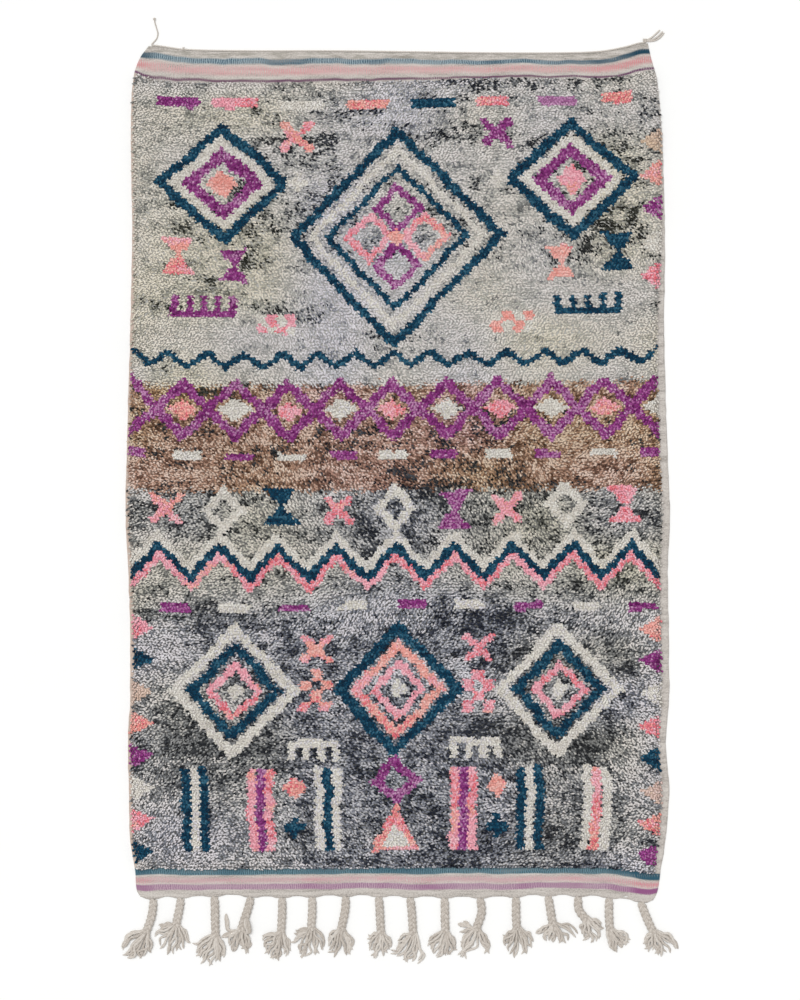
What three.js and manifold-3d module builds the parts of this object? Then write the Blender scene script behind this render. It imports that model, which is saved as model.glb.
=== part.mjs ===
// A hand-knotted wool rug lying flat on the floor, fringe towards -Y.
// It is one woven rug (pile, flatwoven ends and selvedges in one cloth), the cord
// that heads its top edge, and sixteen plaits of warp ends with their tassels.
// Millimetres, +Z up. The origin is on the floor under the middle of the woven rug.
import * as THREE from "three";
import Module from "manifold-3d";

const wasm = await Module();
wasm.setup();

// Heights above the floor
const pileHeight = 20;
const pileLump = 2.6;
const pileRimHeight = 17.5;
const selvedgeThickness = 7;
const flatweaveThickness = 5;
const outerEdgeThickness = 3;

// Widths seen from above
const edgeRounding = 3;
const pileRimWidth = 9;
const rimTuftReach = 3.5;
const weftReturnBump = 2.5;

// The grid that carries the rug's upper face
const pileRowSpacing = 56;

// The pile's lumps: broad swells and the smaller ones on them, as wave lengths
const broadLump = { x: 520, y: 610, share: 0.6 };
const smallLump = { x: 195, y: 240, share: 0.4 };

// The warp end draws in to a point at each plait and arches up between them
const warpArchDepth = 5;
const warpArchFlat = 15;
const warpArchRun = 20;

// A slit between the last two plaits, where the end cords have parted from the weft
const warpSlit = { x: 657, y: -1225, length: 17, width: 4.5 };

// Where the bottom corners start to draw in
const cornerStart = -1148;

// Clearance between pieces that touch
const gap = 0.35;

// The long sides: where they run, and how wide the plain selvedge is on each
const sideTable = [
  { y: -1245, left: -733, right: 728, leftSelvedge: 7, rightSelvedge: 7 },
  { y: -1228, left: -747, right: 741, leftSelvedge: 7, rightSelvedge: 8 },
  { y: -1206, left: -760, right: 750, leftSelvedge: 8, rightSelvedge: 12 },
  { y: -1148, left: -765, right: 759, leftSelvedge: 11, rightSelvedge: 22 },
  { y: -1061, left: -780, right: 773, leftSelvedge: 12, rightSelvedge: 26 },
  { y: -916, left: -783, right: 783, leftSelvedge: 11, rightSelvedge: 26 },
  { y: -771, left: -786, right: 774, leftSelvedge: 11, rightSelvedge: 26 },
  { y: -655, left: -780, right: 783, leftSelvedge: 12, rightSelvedge: 27 },
  { y: -481, left: -779, right: 782, leftSelvedge: 13, rightSelvedge: 28 },
  { y: -250, left: -786, right: 780, leftSelvedge: 12, rightSelvedge: 28 },
  { y: -133, left: -792, right: 786, leftSelvedge: 11, rightSelvedge: 28 },
  { y: 99, left: -789, right: 777, leftSelvedge: 11, rightSelvedge: 27 },
  { y: 389, left: -780, right: 769, leftSelvedge: 11, rightSelvedge: 25 },
  { y: 679, left: -774, right: 771, leftSelvedge: 10, rightSelvedge: 15 },
  { y: 998, left: -777, right: 762, leftSelvedge: 9, rightSelvedge: 8 },
  { y: 1143, left: -771, right: 748, leftSelvedge: 9, rightSelvedge: 8 },
  { y: 1206, left: -751, right: 731, leftSelvedge: 9, rightSelvedge: 8 },
  { y: 1255, left: -714, right: 720, leftSelvedge: 9, rightSelvedge: 8 },
];

// The top end: the edge itself, and the line where the first row of knots starts
const topTable = [
  { x: -780, edge: 1240, pile: 1171 },
  { x: -728, edge: 1241, pile: 1150 },
  { x: -693, edge: 1238, pile: 1142 },
  { x: -620, edge: 1228, pile: 1138 },
  { x: -432, edge: 1224, pile: 1136 },
  { x: -200, edge: 1224, pile: 1138 },
  { x: 50, edge: 1221, pile: 1143 },
  { x: 264, edge: 1218, pile: 1149 },
  { x: 467, edge: 1218, pile: 1150 },
  { x: 580, edge: 1222, pile: 1150 },
  { x: 655, edge: 1235, pile: 1157 },
  { x: 700, edge: 1247, pile: 1168 },
  { x: 760, edge: 1250, pile: 1177 },
];

// The bottom end: the edge where the plaits leave it, and the last row of knots
const bottomTable = [
  { x: -780, edge: -1218, pile: -1150 },
  { x: -745, edge: -1226, pile: -1148 },
  { x: -722, edge: -1229, pile: -1145 },
  { x: -690, edge: -1225, pile: -1144 },
  { x: -600, edge: -1224, pile: -1148 },
  { x: -500, edge: -1219, pile: -1147 },
  { x: -390, edge: -1224, pile: -1147 },
  { x: -120, edge: -1220, pile: -1144 },
  { x: 0, edge: -1223, pile: -1143 },
  { x: 180, edge: -1225, pile: -1143 },
  { x: 300, edge: -1224, pile: -1143 },
  { x: 420, edge: -1219, pile: -1143 },
  { x: 590, edge: -1223, pile: -1144 },
  { x: 655, edge: -1231, pile: -1149 },
  { x: 700, edge: -1236, pile: -1156 },
  { x: 725, edge: -1238, pile: -1160 },
  { x: 765, edge: -1224, pile: -1166 },
];

// One plait: three strands of warp ends, flattened as they lie
const plaitWidth = 26;
const plaitStrandHeight = 9;
const plaitWeaveHeight = 2.4;
const plaitTurn = 42;
const plaitSectionsPerTurn = 6;
const plaitRootWidth = 22;
const plaitRootLength = 8;
const plaitStartPhase = Math.PI / 6;
const plaitEndTaper = 0.72;
const plaitFootShare = 0.85;
const plaitStrandShare = 0.52;
const plaitTopShares = [0.6, 0.2, -0.2, -0.6];

// One tassel: loose yarn ends that bow out from the end of a plait and fan open
const yarnEndsPerTassel = 11;
const yarnEndWidth = 8;
const yarnEndHeight = 6;
const yarnTipScale = 0.85;
const yarnKneeShare = 0.5;
const yarnBow = 14;
const tasselRootDepth = 7;
const tasselRootWidth = 17;
const yarnLengthScatter = 0.04;
const yarnAngleScatter = 2;

// The plaits from left to right. The fan is in degrees from straight down, positive
// towards +X, and reach is how far the yarn ends go at its start, middle and end.
const plaitTable = [
  { rootX: -711, bendX: -718, bendY: -1285, endX: -734, endY: -1331, fan: [-80, 10], reach: [70, 96, 56] },
  { rootX: -632, bendX: -638, bendY: -1266, endX: -647, endY: -1311, fan: [-96, 46], reach: [50, 86, 64] },
  { rootX: -535, bendX: -533, bendY: -1282, endX: -532, endY: -1343, fan: [-64, 32], reach: [68, 94, 50] },
  { rootX: -429, bendX: -443, bendY: -1276, endX: -458, endY: -1322, fan: [-52, 40], reach: [50, 80, 56] },
  { rootX: -339, bendX: -339, bendY: -1280, endX: -342, endY: -1334, fan: [-80, 33], reach: [50, 84, 58] },
  { rootX: -252, bendX: -252, bendY: -1280, endX: -255, endY: -1322, fan: [-90, 43], reach: [42, 88, 60] },
  { rootX: -154, bendX: -157, bendY: -1268, endX: -168, endY: -1322, fan: [-58, 42], reach: [46, 86, 64] },
  { rootX: -59, bendX: -55, bendY: -1282, endX: -52, endY: -1334, fan: [-74, 42], reach: [38, 74, 47] },
  { rootX: 32, bendX: 38, bendY: -1282, endX: 41, endY: -1334, fan: [-74, 13], reach: [46, 92, 86] },
  { rootX: 132, bendX: 133, bendY: -1282, endX: 135, endY: -1331, fan: [-64, 40], reach: [60, 80, 52] },
  { rootX: 235, bendX: 239, bendY: -1270, endX: 223, endY: -1322, fan: [-82, 48], reach: [44, 98, 66] },
  { rootX: 339, bendX: 339, bendY: -1270, endX: 342, endY: -1320, fan: [-60, 54], reach: [46, 86, 66] },
  { rootX: 432, bendX: 439, bendY: -1266, endX: 447, endY: -1308, fan: [-66, 72], reach: [56, 48, 78] },
  { rootX: 519, bendX: 521, bendY: -1262, endX: 545, endY: -1292, fan: [-30, 72], reach: [34, 76, 46] },
  { rootX: 609, bendX: 608, bendY: -1268, endX: 612, endY: -1325, fan: [4, 66], reach: [60, 64, 64] },
  { rootX: 700, bendX: 717, bendY: -1284, endX: 739, endY: -1331, fan: [-56, 70], reach: [36, 66, 88] },
];

// Locks that have turned back beside their plait, which is counted from the left.
// Each leaves at its first angle for its first length, and then bends to the other.
const strayTable = [
  { plait: 4, angles: [-92, -170], lengths: [36, 54] },
  { plait: 4, angles: [-74, -68], lengths: [30, 32] },
  { plait: 4, angles: [90, 176], lengths: [25, 50] },
  { plait: 11, angles: [-118, -98], lengths: [30, 30] },
  { plait: 11, angles: [-122, -136], lengths: [24, 22] },
];
const strayWidth = 10;

// The heading cord along the top edge and the tails at its two corners
const headingRadius = 2.6;
const headingSides = 6;
const headingKnotRadius = 7;
const tailWidth = 4;
const tailHeight = 3.6;
const tailTipScale = 0.85;
const tailKnotRadius = 4.5;
const leftTail = [
  { x: -717, y: 1246 },
  { x: -703, y: 1262 },
  { x: -699, y: 1277 },
  { x: -703, y: 1293 },
  { x: -708, y: 1311 },
  { x: -709, y: 1319 },
];
const rightTails = [
  [{ x: 713, y: 1257 }, { x: 731, y: 1265 }, { x: 757, y: 1288 }],
  [{ x: 715, y: 1256 }, { x: 738, y: 1261 }, { x: 754, y: 1272 }, { x: 765, y: 1284 }],
  [{ x: 716, y: 1255 }, { x: 740, y: 1257 }, { x: 757, y: 1266 }, { x: 769, y: 1280 }],
];

const colours = {
  pile: 0x8d8a88,
  warp: 0xcfc6bb,
};

// Small helpers

const lerp = THREE.MathUtils.lerp;
const clamp = THREE.MathUtils.clamp;
const smooth = THREE.MathUtils.smoothstep;

// A repeatable scatter between -1 and 1
function scatter(a, b) {
  const wave = Math.sin(a * 127.1 + b * 311.7) * 43758.5453;
  return 2 * (wave - Math.floor(wave)) - 1;
}

// The smooth curve through one column of a table, read at a place along another.
// The table's rows run upwards in the place column.
function along(rows, placeColumn, valueColumn, place) {
  const last = rows.length - 1;
  let i = 0;
  while (i < last - 1 && place > rows[i + 1][placeColumn]) i += 1;
  const from = rows[i][placeColumn];
  const to = rows[i + 1][placeColumn];
  const slope = (k) => {
    const before = rows[Math.max(k - 1, 0)];
    const after = rows[Math.min(k + 1, last)];
    const rise = after[valueColumn] - before[valueColumn];
    return rise / (after[placeColumn] - before[placeColumn]);
  };
  const t = clamp((place - from) / (to - from), 0, 1);
  const run = to - from;
  const t2 = t * t;
  const t3 = t2 * t;
  return (
    (2 * t3 - 3 * t2 + 1) * rows[i][valueColumn] +
    (t3 - 2 * t2 + t) * run * slope(i) +
    (3 * t2 - 2 * t3) * rows[i + 1][valueColumn] +
    (t3 - t2) * run * slope(i + 1)
  );
}

// A solid from points and triangles
function solidFrom(points, triangles) {
  const vertProperties = new Float32Array(points.flatMap((p) => [p.x, p.y, p.z]));
  const triVerts = new Uint32Array(triangles.flat());
  return new wasm.Manifold(new wasm.Mesh({ numProp: 3, vertProperties, triVerts }));
}

function geometryFrom(solid) {
  const { vertProperties, triVerts } = solid.getMesh();
  const geometry = new THREE.BufferGeometry();
  geometry.setAttribute("position", new THREE.BufferAttribute(vertProperties, 3));
  geometry.setIndex(new THREE.BufferAttribute(triVerts, 1));
  geometry.computeVertexNormals();
  return geometry;
}

function namedMesh(name, solid, colour) {
  const material = new THREE.MeshStandardMaterial({ color: colour, roughness: 0.95, metalness: 0 });
  const mesh = new THREE.Mesh(geometryFrom(solid), material);
  mesh.name = name;
  return mesh;
}

// A closed solid through rings of equal length, each ring anticlockwise seen from its end
function loft(rings) {
  const sides = rings[0].length;
  const points = rings.flat();
  const triangles = [];
  for (let r = 0; r + 1 < rings.length; r += 1) {
    for (let s = 0; s < sides; s += 1) {
      const a = r * sides + s;
      const b = r * sides + ((s + 1) % sides);
      triangles.push([a, b, b + sides], [a, b + sides, a + sides]);
    }
  }
  const capCentre = (ring) => {
    const centre = new THREE.Vector3();
    ring.forEach((p) => centre.add(p));
    points.push(centre.divideScalar(sides));
    return points.length - 1;
  };
  const start = capCentre(rings[0]);
  const end = capCentre(rings.at(-1));
  const lastRing = (rings.length - 1) * sides;
  for (let s = 0; s < sides; s += 1) {
    const next = (s + 1) % sides;
    triangles.push([start, next, s], [end, lastRing + s, lastRing + next]);
  }
  return solidFrom(points, triangles);
}

// A point beside a route: sideways across it and up from the floor
function beside(place, heading, sideways, height) {
  return new THREE.Vector3(place.x - heading.y * sideways, place.y + heading.x * sideways, height);
}

// The woven rug

const leftSide = (y) => along(sideTable, "y", "left", y);
const rightSide = (y) => along(sideTable, "y", "right", y);
const leftSelvedge = (y) => along(sideTable, "y", "leftSelvedge", y);
const rightSelvedge = (y) => along(sideTable, "y", "rightSelvedge", y);
const topEdge = (x) => along(topTable, "x", "edge", x);
const pileStart = (x) => along(topTable, "x", "pile", x);
const pileEnd = (x) => along(bottomTable, "x", "pile", x);

// The bottom edge dips at each plait's root and arches up between two of them
function bottomEdge(x) {
  const nearest = Math.min(...plaitTable.map((plait) => Math.abs(x - plait.rootX)));
  const arch = smooth(nearest, warpArchFlat, warpArchFlat + warpArchRun);
  return along(bottomTable, "x", "edge", x) - warpArchDepth * (1 - arch);
}

// The rows of the grid, bottom to top: each is a line across the rug, in one zone
function rugRows() {
  const rows = [
    { zone: "edge", line: bottomEdge },
    { zone: "flat", line: (x) => bottomEdge(x) + edgeRounding },
    { zone: "flat", line: (x) => (bottomEdge(x) + pileEnd(x)) / 2 },
    { zone: "flat", line: pileEnd },
    { zone: "rim", line: (x) => pileEnd(x) + pileRimWidth },
  ];
  const pileLength = pileStart(0) - pileEnd(0) - 2 * pileRimWidth;
  const steps = Math.round(pileLength / pileRowSpacing);
  for (let i = 1; i < steps; i += 1) {
    const line = (x) => lerp(pileEnd(x) + pileRimWidth, pileStart(x) - pileRimWidth, i / steps);
    rows.push({ zone: "pile", line });
  }
  rows.push({ zone: "rim", line: (x) => pileStart(x) - pileRimWidth });
  rows.push({ zone: "flat", line: pileStart });
  rows.push({ zone: "flat", line: (x) => (pileStart(x) + topEdge(x)) / 2 });
  rows.push({ zone: "flat", line: (x) => topEdge(x) - edgeRounding });
  rows.push({ zone: "edge", line: topEdge });
  return rows;
}

// The columns of the grid, left to right: one at each flank of a plait and one between two.
// Below cornerStart only the outermost columns follow the bottom corners' cut.
function rugColumns() {
  const rimLeft = (y) => leftSide(y) + leftSelvedge(y) + pileRimWidth;
  const rimRight = (y) => rightSide(y) - rightSelvedge(y) - pileRimWidth;
  const columns = [
    { zone: "edge", across: leftSide },
    { zone: "flat", across: (y) => leftSide(y) + edgeRounding },
    { zone: "flat", across: (y) => leftSide(y) + leftSelvedge(y) },
    { zone: "rim", across: rimLeft },
  ];
  const places = [];
  plaitTable.forEach((plait, i) => {
    const beforeFirst = i === 0;
    const afterLast = i === plaitTable.length - 1;
    if (!beforeFirst) places.push(plait.rootX - warpArchFlat);
    if (!afterLast) places.push(plait.rootX + warpArchFlat);
    if (!afterLast) places.push((plait.rootX + plaitTable[i + 1].rootX) / 2);
  });
  for (const x of places) {
    const share = (x - rimLeft(cornerStart)) / (rimRight(cornerStart) - rimLeft(cornerStart));
    const across = (y) => {
      const level = Math.max(y, cornerStart);
      return lerp(rimLeft(level), rimRight(level), share);
    };
    columns.push({ zone: "pile", across });
  }
  columns.push({ zone: "rim", across: rimRight });
  columns.push({ zone: "flat", across: (y) => rightSide(y) - rightSelvedge(y) });
  columns.push({ zone: "flat", across: (y) => rightSide(y) - edgeRounding });
  columns.push({ zone: "edge", across: rightSide });
  return columns;
}

// One set of lumps, between -1 and 1, its rows and columns leaning so that none line up
function lumps(x, y, lump) {
  const across = (2 * Math.PI * x) / lump.x;
  const up = (2 * Math.PI * y) / lump.y;
  return Math.sin(across + Math.sin(up * 0.6)) * Math.cos(up - across * 0.4);
}

// The pile lies a little higher and lower in soft lumps
function pileTop(x, y) {
  const broad = broadLump.share * lumps(x, y, broadLump);
  const small = smallLump.share * lumps(x, y, smallLump);
  return pileHeight + pileLump * (broad + small);
}

function rugGrid(rows, columns) {
  return rows.map((row, r) =>
    columns.map((column, c) => {
      let y = row.line(0);
      let x = column.across(y);
      y = row.line(x);
      x = column.across(y);
      const onRim = row.zone === "rim" || column.zone === "rim";
      const onEdge = row.zone === "edge" || column.zone === "edge";
      const onFlat = row.zone === "flat" || column.zone === "flat";
      let z = pileTop(x, y);
      if (onRim) z = pileRimHeight + scatter(r, c);
      if (row.zone === "pile" && column.zone === "flat") z = selvedgeThickness;
      else if (onFlat) z = flatweaveThickness;
      if (onEdge) z = outerEdgeThickness;
      const tuft = rimTuftReach * (r % 2 ? 1 : -0.6) * Math.abs(scatter(c, r));
      if (row.zone === "pile" && column.zone === "rim") x += x > 0 ? tuft : -tuft;
      const endTuft = rimTuftReach * (c % 2 ? 1 : -0.6) * Math.abs(scatter(c, r));
      if (row.zone === "rim" && column.zone === "pile") y += y > 0 ? endTuft : -endTuft;
      if (row.zone === "pile" && column.zone === "edge") {
        x += Math.sign(x) * weftReturnBump * scatter(r, c);
      }
      return new THREE.Vector3(x, y, z);
    }),
  );
}

// The upper face is the grid, the underside its outline flat on the floor
function wovenRug(grid) {
  const height = grid.length;
  const width = grid[0].length;
  const points = grid.flat();
  const triangles = [];
  const at = (r, c) => r * width + c;
  for (let r = 0; r + 1 < height; r += 1) {
    for (let c = 0; c + 1 < width; c += 1) {
      triangles.push([at(r, c), at(r, c + 1), at(r + 1, c + 1)]);
      triangles.push([at(r, c), at(r + 1, c + 1), at(r + 1, c)]);
    }
  }
  const border = [];
  for (let c = 0; c < width - 1; c += 1) border.push(at(0, c));
  for (let r = 0; r < height - 1; r += 1) border.push(at(r, width - 1));
  for (let c = width - 1; c > 0; c -= 1) border.push(at(height - 1, c));
  for (let r = height - 1; r > 0; r -= 1) border.push(at(r, 0));
  const floorStart = points.length;
  border.forEach((index) => points.push(points[index].clone().setZ(0)));
  border.forEach((index, i) => {
    const next = (i + 1) % border.length;
    triangles.push([index, floorStart + i, floorStart + next]);
    triangles.push([index, floorStart + next, border[next]]);
  });
  const outline = border.map((index) => new THREE.Vector2(points[index].x, points[index].y));
  for (const [a, b, c] of THREE.ShapeUtils.triangulateShape(outline, [])) {
    triangles.push([floorStart + c, floorStart + b, floorStart + a]);
  }
  return solidFrom(points, triangles);
}

// The parted slit, a long narrow hole through the warp end
function slitCutter() {
  const sides = 8;
  const ring = (z) => {
    const points = [];
    for (let i = 0; i < sides; i += 1) {
      const turn = (i / sides) * 2 * Math.PI;
      const x = warpSlit.x + (warpSlit.length / 2) * Math.cos(turn);
      const y = warpSlit.y + (warpSlit.width / 2) * Math.sin(turn);
      points.push(new THREE.Vector3(x, y, z));
    }
    return points;
  };
  return loft([ring(-1), ring(flatweaveThickness + 1)]);
}

// The plaits

// The height of the bottom edge under a place, read off the rug's own outline
function edgeLineAt(edgePoints, x) {
  const i = edgePoints.findIndex((point, k) => k > 0 && point.x >= x);
  const a = edgePoints[i - 1];
  const b = edgePoints[i];
  return lerp(a.y, b.y, (x - a.x) / (b.x - a.x));
}

// The points round a plait: its foot on the floor, its flanks, and the face between
function plaitOutline(pointAt, flankHeight) {
  return [
    pointAt(-plaitFootShare, 0),
    pointAt(plaitFootShare, 0),
    pointAt(1, flankHeight),
    ...plaitTopShares.map((share) => pointAt(share)),
    pointAt(-1, flankHeight),
  ];
}

// The relief of three strands passing over each other, at one phase of the plait
function plaitRing(place, heading, phase, halfWidth) {
  const strandHalf = halfWidth * plaitStrandShare;
  const swing = halfWidth - strandHalf;
  const strandRise = plaitStrandHeight / 2;
  const strands = [0, 1, 2].map((k) => {
    const turn = phase + (k * 2 * Math.PI) / 3;
    const centre = strandRise + plaitWeaveHeight * (1 + Math.sin(2 * turn));
    return { x: swing * Math.sin(turn), centre };
  });
  const left = Math.min(...strands.map((s) => s.x)) - strandHalf;
  const right = Math.max(...strands.map((s) => s.x)) + strandHalf;
  const topAt = (x) => {
    const heights = strands.map((s) => {
      const off = clamp((x - s.x) / strandHalf, -1, 1);
      return s.centre + strandRise * Math.sqrt(1 - off * off);
    });
    return Math.max(...heights);
  };
  const middle = (left + right) / 2;
  const half = (right - left) / 2;
  return plaitOutline((share, height) => {
    const sideways = middle + share * half;
    return beside(place, heading, sideways, height ?? topAt(sideways));
  }, strandRise);
}

// A yarn end lying on the floor: three-sided, its flat side down
function yarnEnd(places, width, height, tipScale) {
  const rings = places.map((place, i) => {
    const before = places[Math.max(i - 1, 0)];
    const after = places[Math.min(i + 1, places.length - 1)];
    const heading = new THREE.Vector2(after.x - before.x, after.y - before.y).normalize();
    const scale = lerp(1, tipScale, i / (places.length - 1));
    return [
      beside(place, heading, (-width / 2) * scale, 0),
      beside(place, heading, (width / 2) * scale, 0),
      beside(place, heading, 0, height * scale),
    ];
  });
  return loft(rings);
}

// A heading on the floor, in degrees from straight down, positive towards +X
function headingAt(angle) {
  const turn = THREE.MathUtils.degToRad(angle);
  return new THREE.Vector2(Math.sin(turn), -Math.cos(turn));
}

// The place that lies some way off in a heading
function placeTowards(place, angle, length) {
  return place.clone().addScaledVector(headingAt(angle), length);
}

// The plait's flat root follows the rug's edge a hair below it
function rootRing(plait, edgePoints) {
  return plaitOutline((share, height) => {
    const x = plait.rootX + (share * plaitRootWidth) / 2;
    const y = edgeLineAt(edgePoints, x) - gap;
    return new THREE.Vector3(x, y, height ?? flatweaveThickness);
  }, outerEdgeThickness);
}

function plaitRoute(plait, edgePoints) {
  const rootY = edgeLineAt(edgePoints, plait.rootX);
  return new THREE.CatmullRomCurve3([
    new THREE.Vector3(plait.rootX, rootY - plaitRootLength, 0),
    new THREE.Vector3(plait.bendX, plait.bendY, 0),
    new THREE.Vector3(plait.endX, plait.endY, 0),
  ]);
}

function headingAlong(route, share) {
  const tangent = route.getTangentAt(share);
  return new THREE.Vector2(tangent.x, tangent.y);
}

function plaitSolid(plait, route, edgePoints) {
  const sections = Math.round((route.getLength() / plaitTurn) * plaitSectionsPerTurn);
  const rings = [rootRing(plait, edgePoints)];
  for (let i = 0; i <= sections; i += 1) {
    const place = route.getPointAt(i / sections);
    const phase = plaitStartPhase + (i / plaitSectionsPerTurn) * 2 * Math.PI;
    const taper = i === sections ? plaitEndTaper : 1;
    rings.push(plaitRing(place, headingAlong(route, i / sections), phase, (plaitWidth / 2) * taper));
  }
  return loft(rings);
}

// How far the yarn ends reach at a place in the fan, from -1 to 1
function reachAt(plait, side) {
  const [start, middle, end] = plait.reach;
  return lerp(middle, side < 0 ? start : end, Math.abs(side));
}

// The loose yarn ends leave the plait side by side, bow outwards and open into a fan
function tasselSolids(plait, route, index) {
  const heading = headingAlong(route, 1);
  const end = new THREE.Vector2(plait.endX, plait.endY);
  const root = end.clone().addScaledVector(heading, -tasselRootDepth);
  const solids = [];
  for (let j = 0; j < yarnEndsPerTassel; j += 1) {
    const side = (2 * j) / (yarnEndsPerTassel - 1) - 1;
    const evenAngle = lerp(plait.fan[0], plait.fan[1], (side + 1) / 2);
    const angle = evenAngle + yarnAngleScatter * scatter(j, index);
    const length = reachAt(plait, side) * (1 - yarnLengthScatter * (1 - scatter(index, j)));
    const { x, y } = beside(root, heading, (tasselRootWidth / 2) * side, 0);
    const knee = placeTowards(end, angle + yarnBow * side, length * yarnKneeShare);
    const places = [new THREE.Vector2(x, y), knee, placeTowards(end, angle, length)];
    solids.push(yarnEnd(places, yarnEndWidth, yarnEndHeight, yarnTipScale));
  }
  for (const stray of strayTable.filter((row) => row.plait === index + 1)) {
    const knee = placeTowards(root, stray.angles[0], stray.lengths[0]);
    const tip = placeTowards(knee, stray.angles[1], stray.lengths[1]);
    solids.push(yarnEnd([root, knee, tip], strayWidth, yarnEndHeight, yarnTipScale));
  }
  return solids;
}

function plaitWithTassel(plait, index, edgePoints) {
  const route = plaitRoute(plait, edgePoints);
  let solid = plaitSolid(plait, route, edgePoints);
  for (const yarn of tasselSolids(plait, route, index)) solid = solid.add(yarn);
  return solid;
}

// The heading cord

// A ring of the cord, standing on the floor on one of its flats
function cordRing(place, heading, radius) {
  const ring = [];
  const standing = radius * Math.cos(Math.PI / headingSides);
  for (let i = 0; i < headingSides; i += 1) {
    const turn = ((i - 0.5) / headingSides) * 2 * Math.PI - Math.PI / 2;
    const height = standing + radius * Math.sin(turn);
    ring.push(beside(place, heading, radius * Math.cos(turn), Math.max(height, 0)));
  }
  return ring;
}

// A round knot with a small flat under it
function knot(place, heading, radius) {
  const profile = [-0.9, -0.5, 0, 0.5, 0.9];
  const rings = profile.map((share) => {
    const centre = place.clone().addScaledVector(heading, share * radius);
    return cordRing(centre, heading, radius * Math.sqrt(1 - share * share));
  });
  return loft(rings);
}

// The cord lies against the rug's top edge, from corner to corner
function headingRoute(edgePoints) {
  return edgePoints.map((point, i) => {
    const before = edgePoints[Math.max(i - 1, 0)];
    const after = edgePoints[Math.min(i + 1, edgePoints.length - 1)];
    const run = new THREE.Vector2(after.x - before.x, after.y - before.y).normalize();
    const away = (headingRadius + gap) / run.x;
    return new THREE.Vector2(point.x, point.y + away);
  });
}

function headingCord(edgePoints) {
  const route = headingRoute(edgePoints);
  const rings = route.map((place, i) => {
    const before = route[Math.max(i - 1, 0)];
    const after = route[Math.min(i + 1, route.length - 1)];
    const heading = new THREE.Vector2(after.x - before.x, after.y - before.y).normalize();
    return cordRing(place, heading, headingRadius);
  });
  const places = (points) => points.map((point) => new THREE.Vector2(point.x, point.y));
  const leftTip = places(leftTail).at(-1);
  const rightRoot = places(rightTails[0])[0];
  let solid = loft(rings);
  solid = solid.add(knot(leftTip, headingAt(180), tailKnotRadius));
  solid = solid.add(knot(rightRoot, headingAt(135), headingKnotRadius));
  for (const tail of [leftTail, ...rightTails]) {
    solid = solid.add(yarnEnd(places(tail), tailWidth, tailHeight, tailTipScale));
  }
  return solid;
}

// The rug put together

const grid = rugGrid(rugRows(), rugColumns());
const rug = new THREE.Group();
rug.add(namedMesh("woven_rug", wovenRug(grid).subtract(slitCutter()), colours.pile));
rug.add(namedMesh("heading_cord", headingCord(grid.at(-1)), colours.warp));
plaitTable.forEach((plait, index) => {
  const name = `plait_${String(index + 1).padStart(2, "0")}`;
  rug.add(namedMesh(name, plaitWithTassel(plait, index, grid[0]), colours.warp));
});

export default rug;
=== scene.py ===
"""A hand-knotted wool rug with a plaited fringe, laid flat on a pale floor.

Lengths are in millimetres, as in the part's own tables, and become metres when a mesh is made.
"""

import functools
import math

import bpy
import numpy as np
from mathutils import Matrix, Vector


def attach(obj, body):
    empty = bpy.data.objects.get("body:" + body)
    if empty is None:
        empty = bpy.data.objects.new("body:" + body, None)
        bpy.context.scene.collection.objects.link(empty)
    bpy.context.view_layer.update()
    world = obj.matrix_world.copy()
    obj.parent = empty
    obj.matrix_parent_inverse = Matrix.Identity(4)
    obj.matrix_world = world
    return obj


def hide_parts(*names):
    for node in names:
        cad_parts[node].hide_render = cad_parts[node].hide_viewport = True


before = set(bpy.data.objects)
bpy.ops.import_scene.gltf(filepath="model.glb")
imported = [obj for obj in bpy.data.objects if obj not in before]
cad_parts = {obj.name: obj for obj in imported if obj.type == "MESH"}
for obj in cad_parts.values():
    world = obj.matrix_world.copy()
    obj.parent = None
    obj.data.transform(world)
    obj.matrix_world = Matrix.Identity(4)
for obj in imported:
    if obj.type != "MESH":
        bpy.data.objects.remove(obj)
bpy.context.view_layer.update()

MM = 0.001
SEED = 20

# Heights above the floor
CLOTH_THICKNESS = 5.0
EDGE_THICKNESS = 3.0
SELVEDGE_THICKNESS = 7.0
PILE_HEIGHT = 20.0
PILE_LUMP = 2.6
PILE_RIM_HEIGHT = 17.5

# The pile's lumps: wave lengths across and up, and each one's share of PILE_LUMP
BROAD_LUMP = (520.0, 610.0, 0.6)
SMALL_LUMP = (195.0, 240.0, 0.4)

# The warp end draws in to a point at each plait and arches up between them
WARP_ARCH_DEPTH = 5.0
WARP_ARCH_FLAT = 15.0
WARP_ARCH_RUN = 20.0

# A slit in the warp end: its middle, length and width
WARP_SLIT = (657.0, -1225.0, 17.0, 4.5)

# The long sides, upwards: height up the rug, left side, right side, left and right selvedge
SIDES = np.array([
    (-1245, -733, 728, 7, 7),
    (-1228, -747, 741, 7, 8),
    (-1206, -760, 750, 8, 12),
    (-1148, -765, 759, 11, 22),
    (-1061, -780, 773, 12, 26),
    (-916, -783, 783, 11, 26),
    (-771, -786, 774, 11, 26),
    (-655, -780, 783, 12, 27),
    (-481, -779, 782, 13, 28),
    (-250, -786, 780, 12, 28),
    (-133, -792, 786, 11, 28),
    (99, -789, 777, 11, 27),
    (389, -780, 769, 11, 25),
    (679, -774, 771, 10, 15),
    (998, -777, 762, 9, 8),
    (1143, -771, 748, 9, 8),
    (1206, -751, 731, 9, 8),
    (1255, -714, 720, 9, 8),
], float)

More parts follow.
